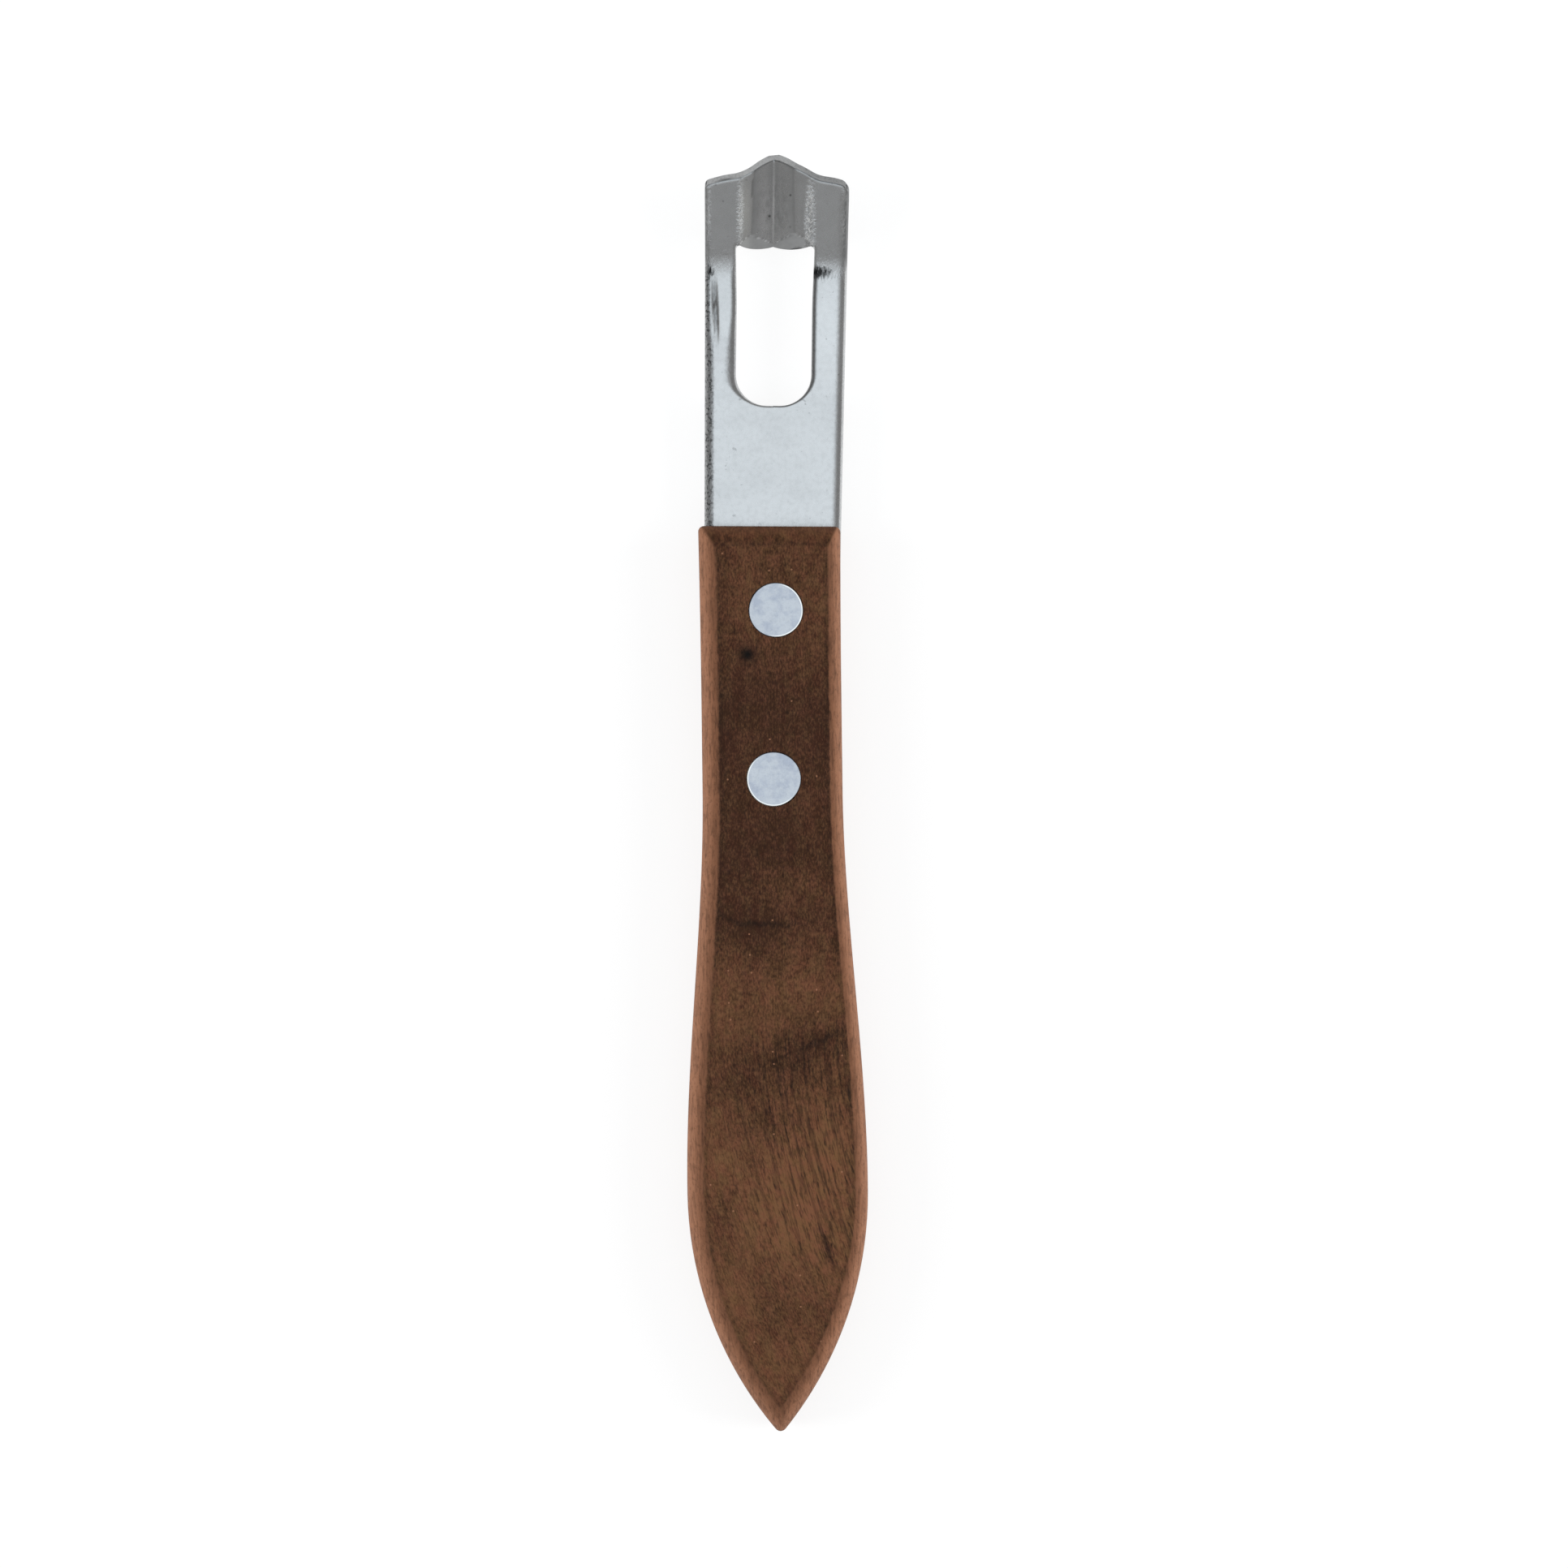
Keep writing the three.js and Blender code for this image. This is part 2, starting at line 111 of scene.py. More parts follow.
class BladeSettings(bpy.types.PropertyGroup):
    """Sizes and colours of the steel blade."""

    sheet: length("Sheet thickness", "Thickness of the steel sheet", 1.5)
    tang: length("Tang length", "Part of the blade inside the handle", 41)
    shank_width: length("Shank width", "Width at the handle's front end", 16.32)
    head_width: length("Head width", "Width at the top of the head", 17.24)
    bend_start: length("Bend start", "From the handle to the start of the bend", 29.4)
    bend_radius: length("Bend radius", "Radius of the bend in the middle of the sheet", 7.6)
    head_tilt: angle("Head tilt", "Angle of the head to the shank", 24)
    head_length: length("Head length", "From the end of the bend to the middle of the top edge", 11.5)
    gable_drop: length("Gable drop", "From the middle of the top edge to its corners", 3.0)
    slot_start: length("Slot start", "From the handle to the bottom of the slot", 14.3)
    slot_width: length("Slot width", "Width of the slot between the arms", 9.0)
    slot_radius: length("Slot corners", "Radius of the slot's two bottom corners", 3.75)
    slot_offset: length("Slot offset", "Slot and channel to the right of the middle line", -0.14)
    crease_offset: length("Crease offset", "Crease to the right of the slot's middle line", -0.26)
    channel_width: length("Channel width", "Width of the channel pressed into the head", 8.9)
    wall_width: length("Wall width", "Width between the upper edges of the two steep walls at the lip", 5.5)
    wall_width_top: length("Wall width at the top", "The same at the head's top edge", 4.9)
    shoulder_slope: angle("Shoulder slope", "Slope of the shoulders beside the walls", 14)
    wall_slope: angle("Wall slope", "Slope of the walls at their upper edges", 36)
    crease_slope: angle("Crease slope", "Slope of the walls beside the crease", 31)
    edge_round: length("Edge rounding", "Width of the tumbled rounding along the long edges", 1.2)
    offset: length("Blade offset", "Blade to the right of the handle's middle line", 0.43)
    lean: angle("Blade lean", "Lean of the blade to the right", 1.45)
    steel: colour("Steel", "Colour of the steel", 0.65, 0.66, 0.665)


class RivetSettings(bpy.types.PropertyGroup):
    """Sizes and colours of the rivets."""

    head_height: length("Head height", "Height of each rivet head", 1.2)
    rim: length("Rim rounding", "Rounding of the rim of a head", 0.1)
    stem: length("Stud diameter", "Diameter of the solid half's stem", 2.6)
    tube: length("Sleeve diameter", "Outer diameter of the hollow half", 4)
    bore: length("Bore diameter", "Inner diameter of the hollow half", 2.66)
    tilt: angle("Head tilt", "How far out of level the sanded heads are", 0.7)
    metal: colour("Rivet metal", "Colour of the rivets", 0.64, 0.675, 0.725)


class StageSettings(bpy.types.PropertyGroup):
    """Size of the picture and colours of the stage."""

    view_width: length("View width", "Width of the picture at the height of the knife's edges", 186.8)
    floor: colour("Floor", "Colour of the floor", 0.8, 0.8, 0.8)


class KnifeSettings(bpy.types.PropertyGroup):
    """All settings of the channel knife."""

    handle: PointerProperty(type=HandleSettings)
    blade: PointerProperty(type=BladeSettings)
    rivets: PointerProperty(type=RivetSettings)
    stage: PointerProperty(type=StageSettings)


# Small helpers for numbers

def share(value, start, end):
    """0 before start, 1 after end, and even in between."""
    return min(1.0, max(0.0, (value - start) / (end - start)))


def smooth(value, start, end):
    """0 before start, 1 after end, and eased in between."""
    part = share(value, start, end)
    return part * part * (3 - 2 * part)


def blend(first, second, part):
    """The first number where part is 0, the second where it is 1."""
    return first + (second - first) * part


def steps(start, end, count, closeness=1.0):
    """Places from start to end, closer together near start for a higher closeness."""
    return [blend(start, end, (k / count) ** closeness) for k in range(count + 1)]


def knock_corner(across, along):
    """Moves a point, given from an arc's centre, so that square lines round the corner become arcs."""
    if across <= 0 or along <= 0:
        return across, along
    scale = max(across, along) / math.hypot(across, along)
    return across * scale, along * scale


# Small helpers for modelling

def clear_selection():
    """Leaves edit mode and deselects every object."""
    if bpy.context.object and bpy.context.object.mode != "OBJECT":
        bpy.ops.object.mode_set(mode="OBJECT")
    bpy.ops.object.select_all(action="DESELECT")


def edit(select_mode="VERT"):
    """Enters edit mode with nothing selected."""
    bpy.ops.object.mode_set(mode="EDIT")
    bpy.ops.mesh.select_mode(type=select_mode)
    bpy.ops.mesh.select_all(action="DESELECT")


def select_faces(piece, wanted):
    """Selects the faces in edit mode whose centre and normal pass the test."""
    shape = bmesh.from_edit_mesh(piece.data)
    for face in shape.faces:
        face.select_set(wanted(face.calc_center_median(), face.normal))
    bmesh.update_edit_mesh(piece.data)


def cut(piece, cutter):
    """Cuts one object out of another and removes the cutter."""
    clear_selection()
    bpy.context.view_layer.objects.active = piece
    piece.select_set(True)
    modifier = piece.modifiers.new("Cut", "BOOLEAN")
    modifier.object = cutter
    modifier.operation = "DIFFERENCE"
    modifier.solver = "EXACT"
    bpy.ops.object.modifier_apply(modifier=modifier.name)
    bpy.data.objects.remove(cutter, do_unlink=True)


def finish_piece(piece, name, node, material, sharp_angle):
    """Cleans and names a finished mesh, gives it its material and puts it in place of the CAD node."""
    clear_selection()
    bpy.context.view_layer.objects.active = piece
    piece.select_set(True)
    bpy.ops.object.transform_apply(location=True, rotation=True, scale=True)
    edit()
    bpy.ops.mesh.select_all(action="SELECT")
    bpy.ops.mesh.remove_doubles(threshold=MERGE_DISTANCE)
    bpy.ops.mesh.normals_make_consistent(inside=False)
    bpy.ops.object.mode_set(mode="OBJECT")
    bpy.ops.object.shade_smooth_by_angle(angle=math.radians(sharp_angle))
    piece.name = name
    piece.data.name = name
    piece.data.materials.clear()
    piece.data.materials.append(material)
    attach(piece, "root")
    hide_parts(node)
    clear_selection()


# Small helpers for materials

class Shader:
    """A new material's node tree, with short ways to add nodes to it."""

    def __init__(self, name):
        self.material = bpy.data.materials.new(name)
        self.material.use_nodes = True
        self.tree = self.material.node_tree
        self.surface = self.tree.nodes["Principled BSDF"]

    def node(self, kind, inputs=None, **settings):
        """A new node with those settings, and with a value or a link in each named input."""
        made = self.tree.nodes.new(kind)
        for name, value in settings.items():
            setattr(made, name, value)
        for name, value in (inputs or {}).items():
            self.put(made.inputs[name], value)
        return made

    def put(self, socket, value):
        if isinstance(value, bpy.types.NodeSocket):
            self.tree.links.new(value, socket)
        else:
            socket.default_value = value

    def mapped(self, where, **inputs):
        """The places after a Mapping node with those inputs."""
        return self.node("ShaderNodeMapping", {"Vector": where, **inputs}).outputs[0]

    def places(self, turn=0.0, shift=(0, 0, 0)):
        """Object coordinates in millimetres from a point, turned about Z."""
        where = self.node("ShaderNodeTexCoord").outputs["Object"]
        moved = self.mapped(where, Scale=(1 / MM,) * 3, Location=tuple(-s for s in shift))
        return self.mapped(moved, Rotation=(0, 0, turn))

    def noise(self, where, stretch, detail=2.0, rough=0.5):
        """Noise with that many patches to the millimetre across, along and up."""
        place = self.mapped(where, Scale=stretch)
        inputs = {"Vector": place, "Scale": 1.0, "Detail": detail, "Roughness": rough}
        return self.node("ShaderNodeTexNoise", inputs).outputs[0]

    def attribute(self, name):
        return self.node("ShaderNodeAttribute", attribute_name=name).outputs["Fac"]

    def split(self, where):
        return self.node("ShaderNodeSeparateXYZ", {0: where}).outputs

    def joined(self, x, y, z):
        return self.node("ShaderNodeCombineXYZ", {0: x, 1: y, 2: z}).outputs[0]

    def total(self, *parts):
        found = parts[0]
        for part in parts[1:]:
            found = self.maths("ADD", found, part)
        return found

    def product(self, *parts):
        found = parts[0]
        for part in parts[1:]:
            found = self.maths("MULTIPLY", found, part)
        return found

    def maths(self, operation, first, second=0.0, third=0.0):
        made = self.node("ShaderNodeMath", operation=operation)
        for socket, value in zip(made.inputs, (first, second, third)):
            self.put(socket, value)
        return made.outputs[0]

    def ramp(self, value, low, high, start=0.0, end=1.0):
        """Start below low, end above high, and eased in between."""
        made = self.node(
            "ShaderNodeMapRange",
            {"Value": value, "From Min": low, "From Max": high, "To Min": start, "To Max": end},
            interpolation_type="SMOOTHSTEP",
        )
        return made.outputs[0]

    def mix(self, part, first, second, kind="MIX"):
        made = self.node("ShaderNodeMix", data_type="RGBA", blend_type=kind)
        self.put(made.inputs[0], part)
        self.put(made.inputs[6], first)
        self.put(made.inputs[7], second)
        return made.outputs[2]

    def spot(self, where, middle, size, turn=0.0, level=1.0):
        """The level in the middle of a soft oval at that place in millimetres, and 0 outside it."""
        moved = self.mapped(where, Location=(-middle[0], -middle[1], 0))
        turned = self.mapped(moved, Rotation=(0, 0, turn))
        place = self.mapped(turned, Scale=(1 / size[0], 1 / size[1], 0))
        distance = self.node("ShaderNodeVectorMath", {0: place}, operation="LENGTH").outputs["Value"]
        return self.ramp(distance, 0.0, 1.0, level, 0.0)

    def tint(self, colours, part, dark):
        """The colours, darkened by a factor where part is 1."""
        return self.mix(1.0, colours, self.mix(part, (1, 1, 1, 1), (dark, dark, dark, 1)), "MULTIPLY")

    def bump(self, height, strength, distance, normal=None):
        made = self.node("ShaderNodeBump", {"Height": height, "Strength": strength, "Distance": distance})
        if normal is not None:
            self.put(made.inputs["Normal"], normal)
        return made.outputs[0]


def rgba(values):
    return (*values, 1.0)


# Patches of the wood's figure: middle and size in millimetres, turn, and how much lighter
FIGURE_PATCHES = (
    ((-6.2, 27.0), (4.0, 10.0), 0.0, -0.12),
    ((1.5, -11.2), (10.0, 4.6), 0.0, 0.17),
    ((-3.5, -16.0), (11.0, 3.0), 0.0, -0.06),
    ((-4.5, -27.0), (6.0, 4.0), 0.0, 0.06),
    ((0.5, -31.5), (15.0, 4.6), -0.41, -0.27),
    ((5.6, -29.7), (4.5, 2.2), -0.41, -0.13),
    ((3.6, -34.0), (5.5, 3.8), -0.3, -0.14),
    ((-2.0, -38.8), (7.0, 5.0), 0.0, -0.13),
    ((6.0, -43.5), (3.5, 6.5), -0.1, 0.25),
    ((-2.4, -44.8), (2.2, 4.5), -0.1, -0.08),
    ((-6.5, -51.0), (3.2, 10.0), 0.0, -0.19),
    ((1.6, -48.2), (5.5, 8.0), -0.1, 0.22),
    ((5.9, -54.3), (1.1, 4.5), -0.35, -0.4),
    ((0.5, -57.3), (9.0, 3.4), 0.0, -0.12),
    ((1.2, -63.0), (7.0, 7.0), 0.0, -0.1),
)


def walnut(handle):
    """Oiled walnut: a mottled face with pores and a small knot, and worked edges paler from sanding and
    painted side light.
    """
    made = Shader("walnut")
    where = made.places()
    x, along, height = made.split(where)
    edge = made.attribute("edge_share")

    # The grain leans more and more below the waist.
    lean_start, lean_ease, lean = -28.0, 24.0, 0.42
    below = made.maths("MAXIMUM", made.maths("SUBTRACT", lean_start, along), 0.0)
    curve = made.maths("SQRT", made.maths("MULTIPLY_ADD", below, below, lean_ease ** 2))
    across = made.maths("SUBTRACT", x, made.maths("MULTIPLY_ADD", curve, lean, -lean * lean_ease))
    grain = made.joined(across, along, height)

    # Figure: lighter and darker regions along the handle
    cloud = made.noise(where, (0.12, 0.07, 0.1), 2.0, 0.5)
    mottle = made.noise(grain, (1.3, 0.7, 0.5), 4.0, 0.7)
    fleck = made.noise(grain, (5.0, 2.0, 2.0), 3.0, 0.7)
    tone = made.total(
        0.23,
        made.ramp(along, 8.0, 27.0, 0.0, 0.16),
        made.ramp(along, -14.0, -25.0, 0.0, 0.30),
        made.ramp(along, -34.0, -44.0, 0.0, 0.19),
        made.ramp(along, -54.0, -64.0, 0.0, -0.16),
        made.ramp(cloud, 0.3, 0.7, -0.08, 0.08),
        made.ramp(mottle, 0.3, 0.7, -0.12, 0.12),
        made.ramp(fleck, 0.3, 0.7, -0.24, 0.24),
    )
    for middle, size, turn, level in FIGURE_PATCHES:
        tone = made.total(tone, made.spot(where, middle, size, turn, level))
    face = made.mix(made.ramp(tone, 0.0, 1.0), rgba(handle.dark), rgba(handle.light))
    hue = made.noise(grain, (0.9, 0.7, 0.5), 3.0, 0.6)
    tint = made.mix(made.ramp(hue, 0.3, 0.7), (0.97, 1.05, 0.95, 1), (1.06, 0.95, 1.0, 1))
    face = made.mix(1.0, face, tint, "MULTIPLY")

    # Two soft wavy lines across the figure, one of them sagging in the middle
    wave = made.ramp(made.noise(where, (0.5, 0.05, 0.1), 3.0, 0.6), 0.3, 0.7, -0.4, 0.4)
    wavy = made.joined(x, made.total(along, wave), height)
    sagging = made.joined(x, made.total(along, wave, made.product(x, x, -0.033)), height)
    lines = made.total(
        made.spot(sagging, (-2.2, -15.7), (9.5, 0.6)),
        made.spot(wavy, (5.2, -29.4), (4.6, 0.65), turn=-0.31),
    )
    face = made.tint(face, lines, 0.5)

    # Long grain lines, one dark streak and pores, most of them in the swell
    pore_part = made.product(
        made.ramp(along, -24.0, -32.0),
        made.ramp(along, -64.0, -51.0, 0.2, 1.0),
        made.ramp(x, -7.0, 2.0, 0.45, 1.0),
    )
    long_lines = made.noise(grain, (3.2, 0.07, 0.4), 1.0, 0.5)
    face = made.tint(face, made.product(made.ramp(long_lines, 0.55, 0.65), pore_part), 0.67)
    face = made.tint(face, made.spot(where, (5.9, -54.3), (0.5, 3.4), turn=-0.3), 0.5)
    pores = made.noise(grain, (4.6, 0.46, 0.6), 1.5, 0.5)
    face = made.tint(face, made.product(made.ramp(pores, 0.54, 0.62), pore_part), 0.6)
    deep_pores = made.noise(grain, (3.4, 0.75, 0.7), 1.0, 0.5)
    face = made.tint(face, made.product(made.ramp(deep_pores, 0.61, 0.7), pore_part), 0.52)
    small_pores = made.noise(grain, (3.6, 1.0, 0.6), 1.0, 0.5)
    face = made.tint(face, made.ramp(small_pores, 0.6, 0.72), 0.7)

    # A small knot
    knot = (-2.78, 16.66)
    face = made.tint(face, made.spot(where, knot, (2.2, 2.3)), 0.5)
    face = made.tint(face, made.spot(where, knot, (1.1, 1.15)), 0.05)

    # A darker line inside the worked edges, and a front edge that is darker inside and has painted light
    # outside
    pale_side = made.attribute("pale_side")
    face = made.tint(face, made.product(made.ramp(edge, -0.5, 0.0), pale_side), 0.78)
    front_edge = made.product(made.ramp(edge, -0.02, 0.06), made.maths("SUBTRACT", 1.0, pale_side))
    face = made.tint(face, made.product(front_edge, made.ramp(edge, 0.75, 0.15)), 0.82)
    # Painted light on the outer front bevel, whose curve turns it from the light
    face = made.mix(made.product(front_edge, made.ramp(edge, 0.3, 1.0), 0.3), face, rgba(handle.edge_inner))

    # Pale specks of dust
    dust = made.node("ShaderNodeTexVoronoi", {"Vector": where, "Scale": 0.38}, voronoi_dimensions="2D")
    some = made.maths("GREATER_THAN", made.split(dust.outputs["Color"])[0], 0.86)
    speck = made.product(made.ramp(dust.outputs["Distance"], 0.05, 0.03), some)
    face = made.mix(made.product(speck, 0.6), face, rgba(handle.edge_outer))

    # Worked edges, paler than the faces from sanding and from painted side light, uneven where they meet
    # them, and darker at mid height of the sides
    streak = made.noise(where, (3.0, 0.25, 2.0), 3.0, 0.65)
    nap = made.noise(where, (3.4, 0.6, 2.4), 1.0, 0.5)
    wander = made.ramp(made.noise(where, (1.8, 1.1, 1.8), 4.0, 0.7), 0.3, 0.7, -0.045, 0.045)
    ragged = made.total(edge, wander)
    worked = made.mix(made.ramp(ragged, 0.12, 0.8), rgba(handle.edge_inner), rgba(handle.edge_outer))
    worked = made.tint(worked, made.ramp(streak, 0.44, 0.64), 0.74)
    worked = made.tint(worked, made.ramp(nap, 0.55, 0.68), 0.74)
    worked = made.tint(worked, made.ramp(fleck, 0.5, 0.68), 0.68)
    off_middle = made.maths("ABSOLUTE", made.maths("SUBTRACT", height, handle.thickness / MM / 2))
    worked = made.tint(worked, made.ramp(off_middle, 3.7, 1.6), 0.8)
    worked = made.tint(worked, made.ramp(along, -58.0, -76.0), 0.85)
    worked = made.tint(worked, made.ramp(x, 2.0, -2.0), 0.93)
    pale = made.product(made.ramp(ragged, -0.05, 0.14), pale_side)
    made.put(made.surface.inputs["Base Color"], made.mix(pale, face, worked))
    made.put(made.surface.inputs["Roughness"], made.ramp(mottle, 0.3, 0.7, 0.66, 0.54))
    made.put(made.surface.inputs["Specular IOR Level"], 0.2)
    made.put(made.surface.inputs["Normal"], made.bump(fleck, 0.2, 0.0001))
    return made.material


def blade_steel(blade):
    """Tumbled stainless sheet: satin flats, speckled edges dulled and darkened with painted shade, painted
    highlights in the channel, painted dark reflections at the bend, and a few marks.
    """
    made = Shader("blade_steel")
    made.put(made.surface.inputs["Metallic"], 1.0)
    where = made.places(blade.lean, (blade.offset / MM, HANDLE_HIGH.y / MM, 0))
    along = made.split(where)[1]
    speckle = made.attribute("edge_speckle")
    peel = made.noise(where, (1.6, 1.6, 1.6), 3.0, 0.6)
    grit = made.noise(where, (3.6, 3.0, 3.0), 3.0, 0.6)
    dull_and_shade = made.attribute("edge_dull_and_shade")
    dull_and_shade = made.product(dull_and_shade, made.ramp(made.total(grit, dull_and_shade, dull_and_shade), 0.5, 0.72))
    front = made.attribute("front_side")

    # Colour of the flats: faint clouds, and a brighter right arm
    colours = made.tint(rgba(blade.steel), made.ramp(peel, 0.45, 0.75), 0.965)
    haze = made.noise(where, (0.2, 0.3, 0.2), 2.0, 0.5)
    colours = made.tint(colours, made.ramp(haze, 0.4, 0.66), 0.95)
    right_arm = made.spot(where, (6.4, 23.5), (4.5, 9.0), level=0.7)
    colours = made.mix(right_arm, colours, (0.71, 0.72, 0.725, 1))

    # Colour of the channel: stains, and painted highlights on the left shoulder and wall, the crease and
    # the rims
    shoulder = made.product(made.spot(where, (-3.75, 37.3), (1.2, 6.5)), front)
    colours = made.mix(shoulder, colours, (0.86, 0.87, 0.845, 1))
    left_wall = made.product(made.spot(where, (-1.35, 37.3), (1.3, 6.5)), front)
    colours = made.mix(left_wall, colours, (0.755, 0.76, 0.77, 1))
    stain = made.noise(where, (1.9, 0.7, 1.0), 5.0, 0.7)
    stained = made.product(made.spot(where, (-0.39, 37.8), (3.4, 6.0)), front, made.ramp(stain, 0.42, 0.62))
    colours = made.tint(colours, stained, 0.76)
    crease = made.product(made.spot(where, (-0.4, 37.6), (0.17, 6.0), level=0.55), front)
    colours = made.mix(crease, colours, (1.0, 1.0, 1.0, 1))
    rims = made.total(
        made.spot(where, (-4.35, 37.2), (0.7, 7.0), level=0.6),
        made.spot(where, (3.96, 35.8), (0.95, 7.5)),
        made.spot(where, (-8.1, 37.0), (0.45, 7.0), level=0.4),
        made.spot(where, (8.0, 36.5), (0.6, 7.5), level=0.3),
    )
    rims = made.product(rims, front)
    # Painted glints on the rims and along the head's long edges
    colours = made.mix(made.product(rims, made.ramp(grit, 0.48, 0.56)), colours, (1.0, 1.0, 0.99, 1))

    # Pits all over, speckled edges, and painted shade that darkens the dull edges, walls, dent and ground
    # bevel
    pits = made.noise(where, (1.5, 1.5, 1.5), 1.0, 0.5)
    colours = made.tint(colours, made.ramp(pits, 0.73, 0.79), 0.75)
    colours = made.tint(colours, dull_and_shade, 0.3)
    colours = made.tint(colours, made.product(speckle, made.ramp(grit, 0.5, 0.62)), 0.3)

    # Painted dark reflections where the arms bend, painted shade in the dent's groove, a scratch and two
    # small marks
    hair = made.noise(where, (4.2, 1.3, 1.0), 4.0, 0.7)
    bend_reflections = made.total(
        made.spot(where, (5.6, 30.2), (3.2, 1.35), level=0.36),
        made.spot(where, (4.7, 30.3), (1.7, 1.7), level=0.2),
        made.spot(where, (-7.85, 30.25), (0.85, 1.6), level=0.44),
    )
    colours = made.tint(colours, made.product(made.ramp(made.total(bend_reflections, hair), 0.6, 1.02), front), 0.05)
    # Painted shade along the dent's groove
    groove = made.spot(where, (-7.2, 25.9), (0.85, 6.2), turn=-0.074)
    colours = made.tint(colours, made.product(made.ramp(made.total(groove, hair), 0.85, 1.35), front), 0.7)
    scratch = made.spot(where, (-6.2, 41.0), (1.9, 0.22), turn=-0.2)
    pit_marks = made.total(
        scratch, made.spot(where, (-0.88, 36.9), (0.25, 0.25)), made.spot(where, (1.6, 39.3), (0.22, 0.22))
    )
    colours = made.tint(colours, made.product(pit_marks, front), 0.25)
    made.put(made.surface.inputs["Base Color"], colours)
    roughness = made.total(made.ramp(peel, 0.3, 0.7, 0.24, 0.3), made.product(dull_and_shade, 0.12))
    made.put(made.surface.inputs["Roughness"], roughness)

    # Relief: uneven at the bend, pebbled on the edges and the channel's rims, and finely grained elsewhere
    bend = made.product(made.ramp(along, 28.5, 30.5), made.ramp(along, 34.0, 31.5))
    normal = made.bump(hair, made.product(bend, 0.4), 0.0002)
    normal = made.bump(grit, rims, 0.0006, normal)
    pebbles = made.maths("MINIMUM", made.total(made.product(speckle, 0.9), 0.004), 1.0)
    made.put(made.surface.inputs["Normal"], made.bump(grit, pebbles, 0.00012, normal))
    return made.material


def rivet_metal(rivets):
    """Sanded rivet heads: cloudy and matt, with a painted highlight on the rim at one side."""
    made = Shader("rivet_metal")
    made.put(made.surface.inputs["Metallic"], 1.0)
    where = made.places()
    cloud = made.noise(where, (0.5, 0.5, 0.5), 5.0, 0.66)
    grain = made.noise(where, (2.8, 2.8, 2.8), 4.0, 0.7)
    rim = made.attribute("bright_rim")
    grey = (rivets.metal[0] * 0.78, rivets.metal[1] * 0.8, rivets.metal[2] * 0.86)
    colours = made.mix(made.ramp(cloud, 0.36, 0.6), rgba(grey), rgba(rivets.metal))
    colours = made.tint(colours, made.ramp(grain, 0.5, 0.75), 0.88)
    # A painted highlight on one side of the rim
    colours = made.mix(rim, colours, (0.95, 0.95, 0.93, 1))
    made.put(made.surface.inputs["Base Color"], colours)
    roughness = made.maths("SUBTRACT", made.ramp(grain, 0.3, 0.7, 0.42, 0.34), made.product(rim, 0.2))
    made.put(made.surface.inputs["Roughness"], roughness)
    made.put(made.surface.inputs["Normal"], made.bump(grain, 0.06, 0.0001))
    return made.material


# Handle

